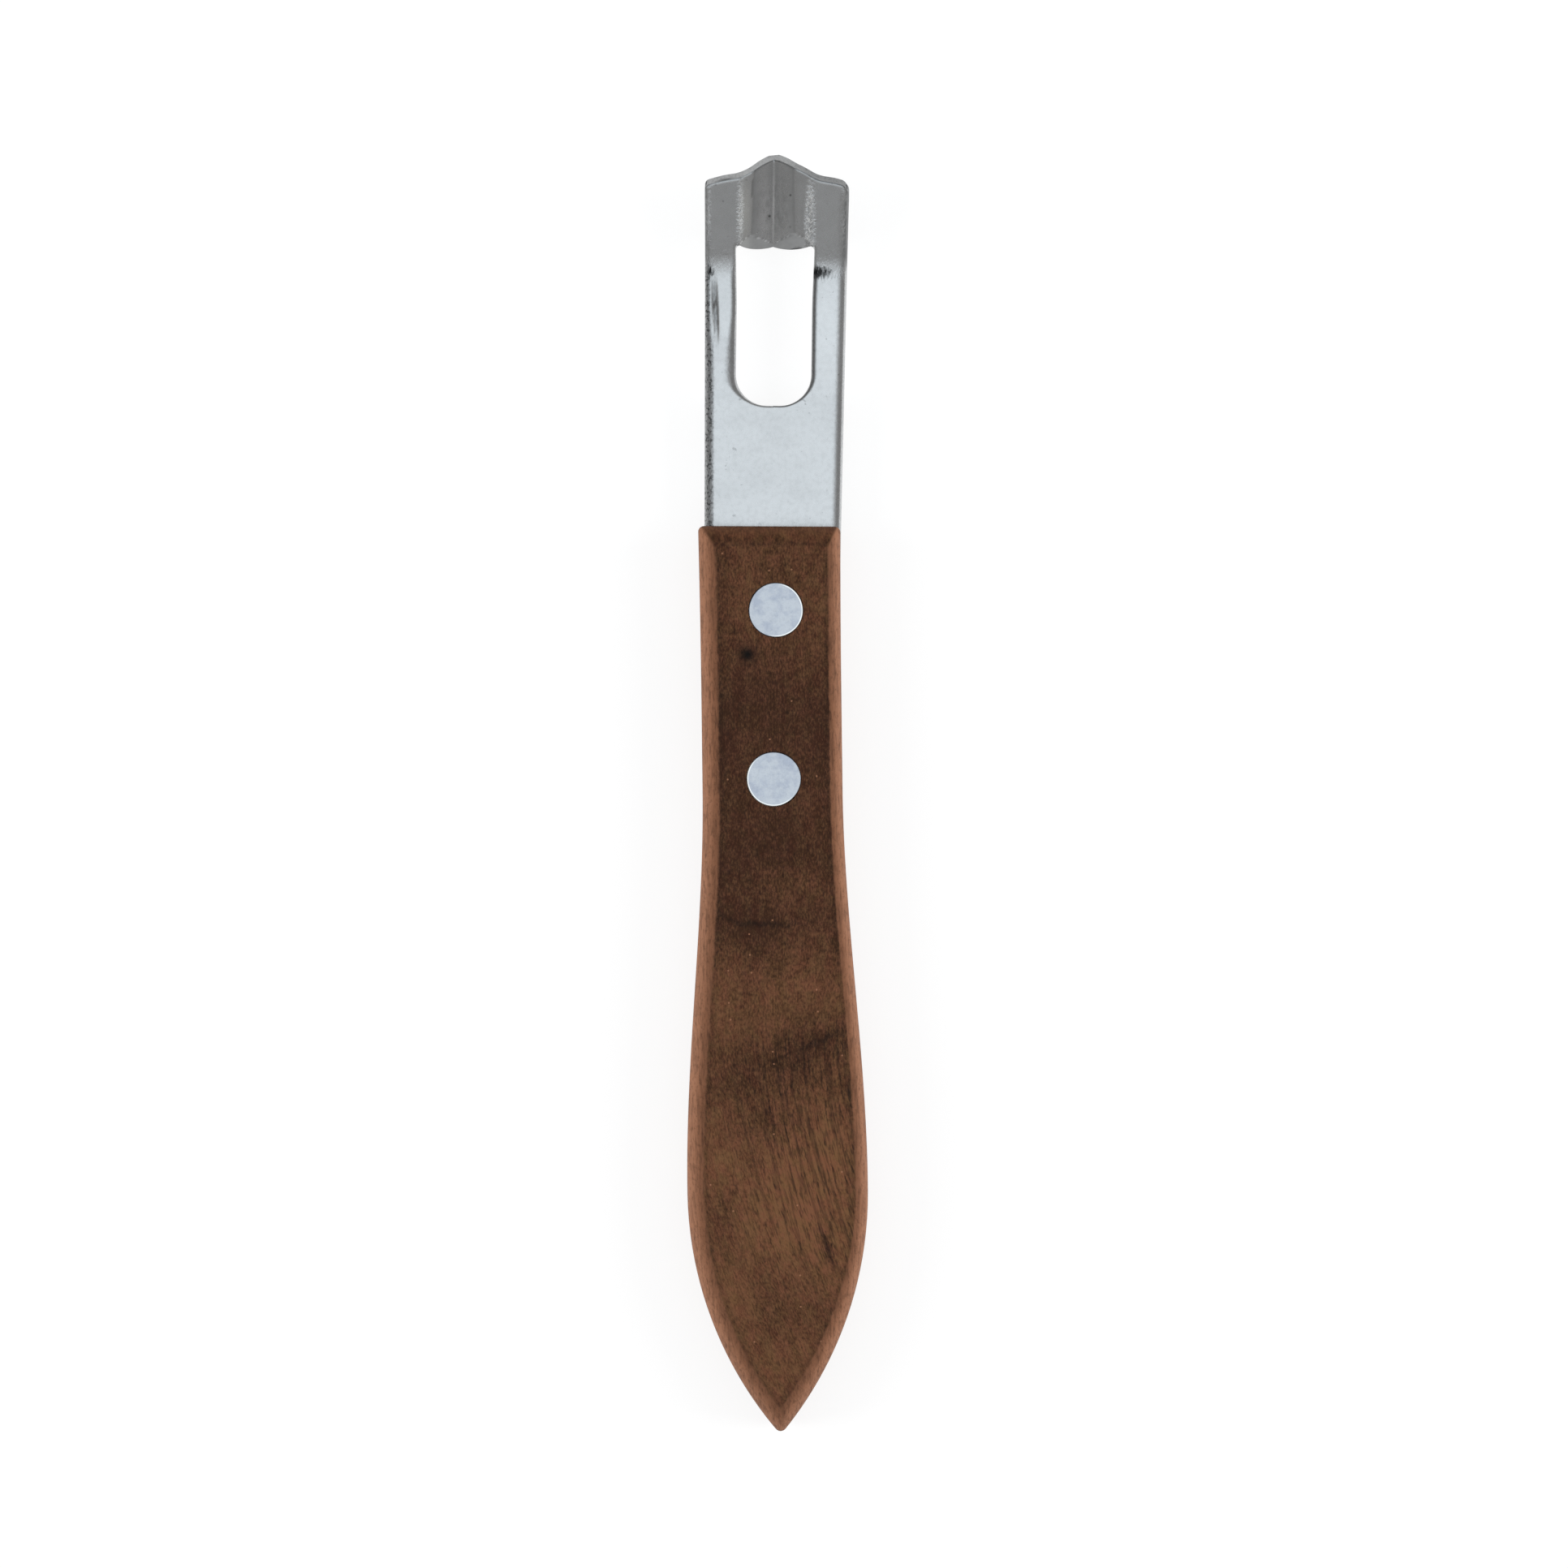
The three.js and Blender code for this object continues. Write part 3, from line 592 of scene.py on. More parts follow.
class HandleShape:
    """The handle's outline, level by level."""

    def __init__(self, handle):
        self.sizes = handle
        self.tip_centre = handle.length - handle.tip_radius
        reach = self.tip_centre - handle.butt_start
        half = handle.swell_width / 2
        self.flank = (half ** 2 + reach ** 2 - handle.tip_radius ** 2) / (2 * half - 2 * handle.tip_radius)
        self.tip_start = self.tip_centre + handle.tip_radius * reach / (self.flank - handle.tip_radius)

    def half_width(self, along):
        h = self.sizes
        if along < h.waist_at:
            return h.waist_width / 2 + (h.front_width - h.waist_width) / 2 * (1 - along / h.waist_at) ** 2
        if along < h.butt_start:
            return blend(h.waist_width, h.swell_width, smooth(along, h.swell_start, h.swell_end)) / 2
        if along < self.tip_start:
            return h.swell_width / 2 - self.flank + math.sqrt(self.flank ** 2 - (along - h.butt_start) ** 2)
        return math.sqrt(max(0.0, h.tip_radius ** 2 - (along - self.tip_centre) ** 2))

    def slope(self, along):
        """How fast the half width grows along the handle."""
        step = 0.01 * MM
        return (self.half_width(along + step) - self.half_width(along - step)) / (2 * step)

    def inset_half_width(self, along, inset):
        """Half width of the outline moved inwards by an inset square to it."""
        return self.half_width(along) - inset * math.hypot(1, self.slope(along))

    def right_share(self, along):
        """How much narrower the worked edge is along the right side. Near the tip both sides are alike."""
        h = self.sizes
        near_tip = smooth(along, h.butt_start, h.length - h.bevel_depth)
        return blend(h.right_bevel / h.side_bevel, 1.0, near_tip)

    def inset_tip(self, inset):
        """Place along the handle where the two sides of the inset outline meet."""
        low, high = self.sizes.butt_start, self.sizes.length
        for _ in range(50):
            middle = (low + high) / 2
            if self.inset_half_width(middle, inset) > 0:
                low = middle
            else:
                high = middle
        return low

    def side(self, inset, share_at, corner_steps=6, side_steps=90):
        """Points along one side, from the front end to the tip."""
        h = self.sizes
        start = inset * h.front_bevel / h.side_bevel + h.corner_radius
        tip = self.inset_tip(inset)
        corner = self.inset_half_width(start, inset * share_at(start)) - h.corner_radius
        points = []
        for k in range(corner_steps):
            turn = k / corner_steps * math.pi / 2
            across = corner + h.corner_radius * math.sin(turn)
            points.append((across, start - h.corner_radius * math.cos(turn)))
        for k in range(side_steps):
            along = blend(start, tip, (1 - math.cos(k / side_steps * math.pi)) / 2)
            points.append((self.inset_half_width(along, inset * share_at(along)), along))
        return points

    def ring(self, inset):
        """Points round the handle: the right side from front end to tip, then the left side back."""
        right = self.side(inset, self.right_share)
        left = [(-x, along) for x, along in reversed(self.side(inset, lambda along: 1.0))]
        return [self.slanted(*point) for point in (*right, (0.0, self.inset_tip(inset)), *left)]

    def slanted(self, across, along):
        """Moves a point near the front end back, most on the right, because that end isn't quite square."""
        reach = 10 * MM
        back = math.tan(self.sizes.front_slant) * (across + self.sizes.front_width / 2)
        return across, along + (1 - smooth(along, 0.0, reach)) * back

    def edge_share(self, across, along, height):
        """How far out on the worked edge a point is, and how far it belongs to a side.

        The first is below 0 on a face and 1 on a side. The second is 0 at the front end and 1 along a side.
        The two meet in a mitre that starts a little in from the corner.
        """
        h = self.sizes
        side = (self.half_width(along) - abs(across)) / math.hypot(1, self.slope(along))
        if across > 0:
            side /= self.right_share(along)
        end = along * h.side_bevel / h.front_bevel
        mitre_start, mitre_slope, mitre_blur = 0.35 * MM, 0.62, 0.25 * MM
        sideness = smooth(mitre_start + mitre_slope * along - side, -mitre_blur, mitre_blur)
        if MERGE_DISTANCE < height < h.thickness - MERGE_DISTANCE:
            left = max(0.0, 1 - min(height, h.thickness - height) / h.bevel_depth)
            turn = math.acos(min(1.0, left ** (h.bevel_fullness / 2)))
            return math.sin(turn) ** (2 / h.bevel_fullness), sideness
        return 1 - min(side, end) / h.side_bevel, sideness

    def levels(self, bevel_steps=12):
        """Inset and height of each ring, from the back face to the front face."""
        h = self.sizes
        power = 2 / h.bevel_fullness
        face_insets = (1.6, 1.3, 1.05)
        back = [(h.side_bevel * part, 0.0) for part in face_insets]
        for k in range(bevel_steps + 1):
            turn = k / bevel_steps * math.pi / 2
            drop = h.bevel_depth * (1 - max(0.0, math.cos(turn)) ** power)
            back.append((h.side_bevel * (1 - math.sin(turn) ** power), drop))
        front = [(inset, h.thickness - drop) for inset, drop in reversed(back)]
        return back + front


def make_handle(settings):
    """Lofts the handle ring by ring, then saws the kerf and drills the rivet seats."""
    handle = settings.handle
    shape = HandleShape(handle)
    levels = shape.levels()
    rings = [[(x, HANDLE_HIGH.y - along, z) for x, along in shape.ring(inset)] for inset, z in levels]
    clear_selection()
    bpy.ops.mesh.primitive_circle_add(vertices=len(rings[0]), radius=handle.front_width, fill_type="NGON")
    piece = bpy.context.object
    place = piece.data.attributes.new("ring_place", "INT", "POINT")
    for vertex, target in zip(piece.data.vertices, rings[0]):
        place.data[vertex.index].value = vertex.index
        vertex.co = target
    edit("FACE")
    bpy.ops.mesh.select_all(action="SELECT")
    for ring in rings[1:]:
        bpy.ops.mesh.extrude_region_move()
        mesh = bmesh.from_edit_mesh(piece.data)
        number = mesh.verts.layers.int["ring_place"]
        for vertex in mesh.verts:
            if vertex.select:
                vertex.co = ring[vertex[number]]
        bmesh.update_edit_mesh(piece.data)
    bpy.ops.mesh.select_all(action="SELECT")
    bpy.ops.mesh.normals_make_consistent(inside=False)
    bpy.ops.object.mode_set(mode="OBJECT")
    piece.data.attributes.remove(piece.data.attributes["ring_place"])

    blade = settings.blade
    room_past_tang = 0.6 * MM
    kerf_end = HANDLE_HIGH.y - blade.tang - room_past_tang
    past = 5 * MM
    clear_selection()
    bpy.ops.mesh.primitive_cube_add(
        size=1, location=(0, (kerf_end + HANDLE_HIGH.y + past) / 2, handle.thickness / 2),
        scale=(handle.swell_width * 2, HANDLE_HIGH.y + past - kerf_end, blade.sheet + 2 * handle.kerf_gap),
    )
    cut(piece, bpy.context.object)
    for rivet in RIVETS:
        low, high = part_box(rivet + "_stud")
        middle = (low + high) / 2
        seat_radius = (high.x - low.x) / 2 + handle.seat_gap
        seat_depth = settings.rivets.head_height + handle.kerf_gap
        for radius, bottom, top in (
            (settings.rivets.tube / 2 + handle.kerf_gap, -past, handle.thickness + past),
            (seat_radius, handle.thickness - seat_depth, handle.thickness + past),
            (seat_radius, -past, seat_depth),
        ):
            clear_selection()
            bpy.ops.mesh.primitive_cylinder_add(
                vertices=72, radius=radius, depth=top - bottom,
                location=(middle.x, middle.y, (top + bottom) / 2),
            )
            cut(piece, bpy.context.object)
    shares = [shape.edge_share(v.co.x, HANDLE_HIGH.y - v.co.y, v.co.z) for v in piece.data.vertices]
    # pale_side marks the sides, whose worked edges are paler from sanding and from painted side light
    for name, numbers in (("edge_share", [s[0] for s in shares]), ("pale_side", [s[1] for s in shares])):
        piece.data.attributes.new(name, "FLOAT", "POINT").data.foreach_set("value", numbers)
    finish_piece(piece, "walnut_handle", "handle", walnut(handle), sharp_angle=40)


# Blade

class BladeShape:
    """The blade as a sheet seen from above: where each grid point lies, and how high its faces are."""

    # Cells of the grid across the blade: a long edge, an arm, the rings round the slot, and the channel's
    # shoulder, two walls and other shoulder
    EDGE = 8
    ARM = 3
    RING = 12
    CHANNEL = (10, 14, 14, 10)

    # Cells along the blade, apart from edges and rings: the shank, the slot's round bottom, its straight
    # sides and its part in the bend, and the head
    SHANK = 16
    SLOT = (14, 10, 24)
    HEAD = 12

    # Widths of the narrow roundings, and how deep the wide ones may go
    END_ROUND = 0.3 * MM
    LIP_ROUND = 0.12 * MM
    SLOT_BOTTOM_ROUND = 0.16 * MM
    BACK_ROUND = 0.3 * MM
    DEEPEST_ROUND = 0.95 * MM

    # Radii of the rounded corners
    TANG_CORNER = 2.0 * MM
    LEFT_HEAD_CORNER = 0.45 * MM
    RIGHT_HEAD_CORNER = 0.95 * MM

    # How speckled each edge is, and how dull and darkened with painted shade
    WEAR_AND_SHADE = {
        "left": (1.0, 0.6), "right": (0.12, 0.13), "end": (0.3, 0.66), "slot left": (0.2, 0.2),
        "slot right": (0.3, 0.75), "lip": (0.0, 0.9),
    }

    def __init__(self, blade):
        self.sizes = blade
        b = blade
        self.half_sheet = b.sheet / 2
        self.sine, self.cosine = math.sin(b.head_tilt), math.cos(b.head_tilt)
        self.bend_end = b.bend_start + b.bend_radius * self.sine
        self.bend_rise = b.bend_radius * (1 - self.cosine)
        self.head_end = self.bend_end + b.head_length * self.cosine

        # The lip: its place, and how far its two halves and its middle sag
        self.lip = self.bend_end + 0.9 * MM
        self.lip_sag = 0.36 * MM
        self.lip_cusp = 0.02 * MM

        # The slot: its half width below and at the top, and its top corners
        self.half_slot = b.slot_width / 2
        self.top_half_slot = b.channel_width / 2 + 0.22 * MM
        self.slot_top_radius = 0.5 * MM

        # The grid: the column at the walls' upper edges, and distances from an edge and from the slot
        self.wall_column = 2.5 * MM
        self.edge_steps = steps(0.0, 1.45 * MM, self.EDGE, 1.6)
        self.ring_steps = steps(0.0, 2.0 * MM, self.RING, 1.5)
        self.columns = 2 * (self.EDGE + self.ARM + self.RING) + sum(self.CHANNEL)
        self.rows = 2 * self.EDGE + self.SHANK + 2 * self.RING + sum(self.SLOT) + self.HEAD
        self.first_column = self.EDGE + self.ARM + self.RING
        self.last_column = self.columns - self.first_column
        self.first_row = self.EDGE + self.SHANK + self.RING
        self.last_row = self.first_row + sum(self.SLOT)
        self.slot_places = self.slot_columns()
        self.row_places = self.slot_rows()

    def slot_columns(self):
        """Places across the slot and the rings beside it, from its middle line, for the columns there."""
        half, wall = self.half_slot, self.wall_column
        outer, inner = self.CHANNEL[:2]
        left = [-half - d for d in reversed(self.ring_steps)]
        left += steps(-half, -wall, outer)[1:] + steps(0.0, -wall, inner, 1.4)[-2::-1]
        places = left + [-x for x in reversed(left[:-1])]
        return {self.EDGE + self.ARM + k: x for k, x in enumerate(places)}

    def slot_rows(self):
        """Places along the blade for the rows at the slot and the rings below and above it."""
        start, radius = self.sizes.slot_start, self.sizes.slot_radius
        low, middle, high = self.SLOT
        near_bend = self.sizes.bend_start - 1.0 * MM
        places = [start - d for d in reversed(self.ring_steps)]
        places += steps(start, start + radius, low, 1.3)[1:] + steps(start + radius, near_bend, middle)[1:]
        places += steps(near_bend, self.lip, high)[1:] + [self.lip + d for d in self.ring_steps[1:]]
        return {self.EDGE + self.SHANK + k: y for k, y in enumerate(places)}

    def half_width(self, along):
        """Half width of the blade, which widens evenly towards the head."""
        return blend(self.sizes.shank_width, self.sizes.head_width, along / self.head_end) / 2

    def wall_edge(self, along):
        """Distance from the crease to the upper edge of a wall, smaller towards the head's end."""
        part = share(along, self.lip, self.head_end)
        return blend(self.sizes.wall_width, self.sizes.wall_width_top, part) / 2

    def follow_wall(self, x, along):
        """Moves a column's place so that columns run along the crease and the upper edges of the walls."""
        half, edge, crease = self.sizes.channel_width / 2, self.wall_edge(along), self.sizes.crease_offset
        side = math.copysign(1.0, x)
        if abs(x) <= self.wall_column:
            return crease + x * edge / self.wall_column
        if abs(x) < half:
            part = (abs(x) - self.wall_column) / (half - self.wall_column)
            return blend(crease + side * edge, side * half, part)
        return x

    def bend_height(self, along, offset):
        """Height at that place of the face that lies offset above the middle of the sheet."""
        b = self.sizes
        radius = b.bend_radius - offset
        past = along - b.bend_start
        if past <= 0:
            return offset
        if past <= radius * self.sine:
            return b.bend_radius - math.sqrt(radius ** 2 - past ** 2)
        return b.bend_radius - radius * self.cosine + (past - radius * self.sine) * self.sine / self.cosine

    def channel_line(self, across, along):
        """Height of the channel's front over the head's flats, square to the head."""
        b = self.sizes
        x = across - b.slot_offset - b.crease_offset
        half = b.channel_width / 2 - math.copysign(b.crease_offset, x * b.crease_offset)
        x = abs(x)
        edge = self.wall_edge(along)
        drop = math.tan(b.shoulder_slope) * (b.channel_width / 2 - edge)
        if x > edge:
            return -drop * max(0.0, half - x) / (half - edge)
        inner, outer = math.tan(b.crease_slope), math.tan(b.wall_slope)
        wall = inner * (edge - x) + (outer - inner) * (edge ** 2 - x ** 2) / (2 * edge)
        return -drop - wall

    def wall_shade(self, across, along):
        """How dull the channel's walls are and how much painted shade darkens them, most at their upper
        edges.
        """
        part = abs(across - self.sizes.slot_offset - self.sizes.crease_offset) / self.wall_edge(along)
        just_past_edge, start, most = 1.01, self.lip - 1 * MM, 0.5
        if part > just_past_edge or along < start:
            return 0.0
        return most * part ** 3

    def channel(self, across, along, back):
        """Height of the channel with its edges a little soft. At the back the crease is a rounded keel."""
        reach = (0.6 if back else 0.09) * MM
        places = [across + reach * k / 3 for k in range(-3, 4)]
        found = [self.channel_line(x, along) for x in places]
        height = sum(found) / len(found)
        if back:
            slope = (found[-1] - found[0]) / (2 * reach)
            height -= self.sizes.sheet * (math.hypot(1, slope) - 1)
        return height

    def grind_height(self, across, along):
        """Height of the ground bevel inside the lip, or infinity where there is none."""
        b = self.sizes
        x = (across - b.slot_offset) / (b.channel_width / 2)
        if abs(x) >= 1:
            return math.inf
        slope, arch_height, bevel_width = math.radians(59), 2 * MM, 0.3 * MM
        arch = arch_height * (1 - math.sqrt(1 - x ** 2))
        top = self.lip - self.lip_cusp + bevel_width
        crease = self.half_sheet + self.channel_line(b.slot_offset + b.crease_offset, top)
        along_head = (top - self.bend_end + crease * self.sine) / self.cosine
        height = self.bend_rise + along_head * self.sine + crease * self.cosine
        return height + math.tan(slope) * (along - top) + arch / math.cos(slope)

    def top_edge(self, across, offset):
        """Place along the blade of the head's end, cut square to the head, for a face at that offset."""
        b = self.sizes
        soft, hollow_depth = 1.2 * MM, 0.35 * MM
        gable = b.gable_drop / (b.head_width / 2) * (math.hypot(across, soft) - soft)
        hollow, spread = (5.0 * MM, 1.5 * MM) if across > 0 else (4.2 * MM, 1.8 * MM)
        gable += hollow_depth * math.exp(-((abs(across) - hollow) / spread) ** 2)
        return self.bend_end + self.cosine * (b.head_length - gable) - offset * self.sine

    def slot_point(self, column, row):
        """A point of the slot's edge, of a ring round the slot or of the head above it."""
        b = self.sizes
        x, y = self.slot_places[column], self.row_places[row]
        side = -1 if x < 0 else 1
        x = abs(x)
        corner, bottom = self.half_slot - b.slot_radius, b.slot_start + b.slot_radius
        if x > corner and y < bottom:
            across, along = knock_corner(x - corner, bottom - y)
            x, y = corner + across, bottom - along
        corner, top = self.half_slot - self.slot_top_radius, self.lip - self.slot_top_radius
        if x > corner and y > top:
            across, along = knock_corner(x - corner, y - top)
            x, y = corner + across, top + along
        flare_start = self.bend_end - 6 * MM
        flare = share(y, flare_start, self.bend_end) * (self.top_half_slot - self.half_slot)
        x += flare * min(1.0, x / self.half_slot)
        x *= side
        if row >= self.last_row:
            part = 1 - min(1.0, abs(x) / (self.top_half_slot - self.slot_top_radius))
            x = self.follow_wall(x, y)
            y += 2 * part * (1 - part) * (self.lip_cusp - 2 * self.lip_sag) - part ** 2 * self.lip_cusp
        return Vector((x + b.slot_offset, y))

    def plan(self, back):
        """Every grid point seen from above, by column and row."""
        points = {}
        low_row, high_row = self.first_row - self.RING, self.last_row + self.RING
        low_column, high_column = self.first_column - self.RING, self.last_column + self.RING
        for row in range(low_row, high_row + 1):
            for column in range(low_column, high_column + 1):
                points[column, row] = self.slot_point(column, row)
            self.fill_sides(points, row, self.row_places[row], low_column, high_column)
        for row in range(self.EDGE + 1):
            along = self.edge_steps[row] - self.sizes.tang
            for column in range(low_column, high_column + 1):
                points[column, row] = Vector((points[column, low_row].x, along))
            self.fill_sides(points, row, along, low_column, high_column)
        for row in range(self.rows - self.EDGE, self.rows + 1):
            inset = self.edge_steps[self.rows - row]
            for column in range(self.columns + 1):
                across = points[column, high_row].x
                if self.first_column < column < self.last_column:
                    x = self.slot_places[column] * self.top_half_slot / self.half_slot
                    across = self.follow_wall(x, self.head_end) + self.sizes.slot_offset
                else:
                    end_width = self.half_width(self.top_edge(across, 0))
                    across *= end_width / self.half_width(self.row_places[high_row])
                offset = self.offset(across, back)
                points[column, row] = Vector((across, self.top_edge(across, offset) - inset))
        for start, end in ((self.EDGE, low_row), (high_row, self.rows - self.EDGE)):
            for row in range(start + 1, end):
                for column in range(self.columns + 1):
                    part = (row - start) / (end - start)
                    points[column, row] = points[column, start].lerp(points[column, end], part)
        return {key: self.rounded_corner(point, back) for key, point in points.items()}

    def fill_sides(self, points, row, along, low_column, high_column):
        """Adds the columns of both long edges to a row, and those of the arms between edges and rings."""
        for side, inner in ((-1, low_column), (1, high_column)):
            for k, inset in enumerate(self.edge_steps):
                column = k if side < 0 else self.columns - k
                points[column, row] = Vector((side * (self.half_width(along) - inset), along))
            for k in range(1, self.ARM):
                outer = self.EDGE if side < 0 else self.columns - self.EDGE
                column = outer - side * k
                points[column, row] = points[outer, row].lerp(points[inner, row], k / self.ARM)

    def rounded_corner(self, point, back):
        """Rounds the head's two corners and the tang's two corners."""
        x, y = point
        side = -1 if x < 0 else 1
        if y < 0:
            radius, end, sign = self.TANG_CORNER, -self.sizes.tang, -1
        else:
            radius = self.LEFT_HEAD_CORNER if side < 0 else self.RIGHT_HEAD_CORNER
            end, sign = self.top_edge(x, self.offset(x, back)), 1
        across = radius - (self.half_width(y) - abs(x))
        along = radius - sign * (end - y)
        new_across, new_along = knock_corner(across, along)
        return Vector((x + side * (new_across - across), y + sign * (new_along - along)))

    def offset(self, across, back):
        """Distance of a face at the head's end from the middle of the sheet, square to the head."""
        return self.channel(across, self.head_end, back) + (-1 if back else 1) * self.half_sheet

    def dent(self, across, along):
        """Depth of the long shallow dent in the left arm."""
        start, end = Vector((-7.55, 30.6)) * MM, Vector((-6.8, 20.3)) * MM
        line = end - start
        part = (Vector((across, along)) - start).dot(line) / line.length_squared
        if not 0 < part < 1:
            return 0.0
        away = (Vector((across, along)) - start - line * part).length
        deepest, spread = 0.21 * MM, blend(0.34, 0.22, part) * MM
        depth = deepest * smooth(part, 0.0, 0.25) * (1 - smooth(part, 0.6, 1.0))
        return depth * math.exp(-(away / spread) ** 2)

    def roundings(self, column, row, point):
        """For each edge near a grid point: the width of its rounding, the distance to it and its name."""
        b = self.sizes
        x, y = point
        found = []
        left = column < self.columns / 2
        nearest = min(column, self.columns - column)
        if nearest <= self.EDGE:
            # The left rounding narrows along the dent, and both narrow towards the head's corners.
            if left:
                width = blend(b.edge_round, b.edge_round * 0.6, smooth(y, 18 * MM, 27 * MM))
            else:
                width = b.edge_round * 1.12
            if y > self.bend_end:
                width *= blend(0.3, 1.0, smooth(self.top_edge(x, self.half_sheet) - y, 0.0, 2.2 * MM))
            found.append((width, self.edge_steps[nearest], "left" if left else "right"))
        if row >= self.rows - self.EDGE:
            found.append((self.END_ROUND, self.edge_steps[self.rows - row], "end"))
        if row <= self.EDGE:
            found.append((self.END_ROUND, self.edge_steps[row], "end"))
        beside = max(self.first_column - column, column - self.last_column)
        below, above = self.first_row - row, row - self.last_row
        ring = max(beside, below, above)
        if 0 <= ring <= self.RING:
            if above == ring and beside < ring:
                found.append((self.LIP_ROUND, self.ring_steps[ring], "lip"))
            else:
                # Widest low on the left, half as wide past the bend, and narrow at the slot's bottom
                full = (0.85 + 0.7 * smooth(y, 26 * MM, 19 * MM) if left else 0.62) * MM
                full *= blend(1.0, 0.5, smooth(y, b.bend_start, self.bend_end))
                rise = smooth(y, b.slot_start - 1.0 * MM, b.slot_start + b.slot_radius)
                width = blend(self.SLOT_BOTTOM_ROUND, full, rise)
                found.append((width, self.ring_steps[ring], "slot left" if left else "slot right"))
        return found

    def height(self, column, row, point, back):
        """Height of a grid point on one face of the sheet, and how speckled, dull and darkened with painted
        shade it is there.
        """
        b = self.sizes
        x, y = point
        side = -1 if back else 1
        height = self.bend_height(y, side * self.half_sheet)
        height += smooth(y, b.bend_start, b.bend_start + 1 * MM) * self.channel(x, y, back) / self.cosine
        speckle, dull_and_shade = 0.0, 0.0
        if not back:
            # The dent is speckled, dull and darkened with painted shade in proportion to its depth.
            dent = self.dent(x, y)
            height -= dent
            speckle = 2.0 * dent / MM
            dull_and_shade = max(self.wall_shade(x, y), 1.8 * dent / MM)
        for width, distance, edge in self.roundings(column, row, point):
            if back:
                width = min(width, self.BACK_ROUND)
            if distance < width:
                part = 1 - distance / width
                depth = width if back else min(width * 0.8, self.DEEPEST_ROUND)
                height -= side * depth * (1 - math.sqrt(1 - part ** 2))

                # Wear and painted shade grow over the first third of a rounding. Past the bend only the
                # head's end and the lip keep all of it.
                worn_and_shaded = min(1.0, part * 3)
                in_head = smooth(y, b.bend_start, self.bend_end)
                if edge == "end":
                    worn_and_shaded *= blend(1.0, 1.3, smooth(x, 1 * MM, 4 * MM))
                elif edge != "lip":
                    worn_and_shaded *= 1 - 0.75 * in_head
                speckle = max(speckle, self.WEAR_AND_SHADE[edge][0] * worn_and_shaded)
                dull_and_shade = max(dull_and_shade, self.WEAR_AND_SHADE[edge][1] * worn_and_shaded)
                # Painted shade darkens most of the head's long roundings.
                if edge in ("left", "right"):
                    dull_and_shade = max(dull_and_shade, 0.85 * smooth(part, 0.35, 0.8) * in_head)
        return height, speckle, dull_and_shade

    def front(self, column, row, point):
        """The same for the front, with the bevel ground inside the lip."""
        near_lip, ground_dull_and_shade, thinnest = self.lip - 2 * MM, 0.84, 0.03 * MM
        height, speckle, dull_and_shade = self.height(column, row, point, False)
        ground = self.grind_height(*point)
        # The ground bevel is dull and darkened with painted shade.
        if point.y > near_lip and ground < height:
            height, dull_and_shade = ground, max(dull_and_shade, ground_dull_and_shade)
        back_height = self.height(column, row, point, True)[0]
        return max(height, back_height + thinnest), speckle, dull_and_shade


def make_blade(settings):
    """Places a grid of points on the sheet's two faces, then drills the tang."""
    blade = settings.blade
    shape = BladeShape(blade)
    clear_selection()
    bpy.ops.mesh.primitive_grid_add(x_subdivisions=shape.columns, y_subdivisions=shape.rows, size=1)
    piece = bpy.context.object
    mesh = piece.data
    across = shape.columns + 1
    for name, numbers in (
        ("grid_column", [v.index % across for v in mesh.vertices]),
        ("grid_row", [v.index // across for v in mesh.vertices]),
    ):
        mesh.attributes.new(name, "INT", "POINT").data.foreach_set("value", numbers)
    edit("FACE")
    left, right = shape.first_column / shape.columns - 0.5, shape.last_column / shape.columns - 0.5
    low, high = shape.first_row / shape.rows - 0.5, shape.last_row / shape.rows - 0.5
    select_faces(piece, lambda centre, normal: left < centre.x < right and low < centre.y < high)
    bpy.ops.mesh.delete(type="FACE")
    bpy.ops.object.mode_set(mode="OBJECT")
    front_count = len(mesh.vertices)
    modifier = piece.modifiers.new("Sheet", "SOLIDIFY")
    modifier.thickness = blade.sheet
    modifier.offset = -1
    bpy.ops.object.modifier_apply(modifier=modifier.name)
    mesh = piece.data
    place = Matrix.Translation((blade.offset, HANDLE_HIGH.y, settings.handle.thickness / 2))
    place = place @ Matrix.Rotation(-blade.lean, 4, "Z")
    plans = (shape.plan(False), shape.plan(True))
    column_of = mesh.attributes["grid_column"].data
    row_of = mesh.attributes["grid_row"].data
    wear_and_shade = []
    for vertex in mesh.vertices:
        back = vertex.index >= front_count
        column, row = column_of[vertex.index].value, row_of[vertex.index].value
        point = plans[back][column, row]
        if back:
            height, *worn_and_shaded = shape.height(column, row, point, True)
        else:
            height, *worn_and_shaded = shape.front(column, row, point)
        worn_and_shaded.append(0.0 if back else 1.0)
        vertex.co = place @ Vector((*point, height))
        wear_and_shade.append(worn_and_shaded)
    # Each point keeps how speckled it is, how dull and darkened with painted shade, and which face it is
    # on.
    for k, name in enumerate(("edge_speckle", "edge_dull_and_shade", "front_side")):
        mesh.attributes.new(name, "FLOAT", "POINT").data.foreach_set("value", [worn_and_shaded[k] for worn_and_shaded in wear_and_shade])
    mesh.attributes.remove(mesh.attributes["grid_column"])
    mesh.attributes.remove(mesh.attributes["grid_row"])
    hole_radius = settings.rivets.tube / 2 + 0.1 * MM
    drill_length = 20 * MM
    for rivet in RIVETS:
        low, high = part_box(rivet + "_sleeve")
        middle = (low + high) / 2
        clear_selection()
        bpy.ops.mesh.primitive_cylinder_add(
            vertices=48, radius=hole_radius, depth=drill_length, location=middle
        )
        cut(piece, bpy.context.object)
    finish_piece(piece, "steel_blade", "channel_blade", blade_steel(blade), sharp_angle=42)


# Rivets

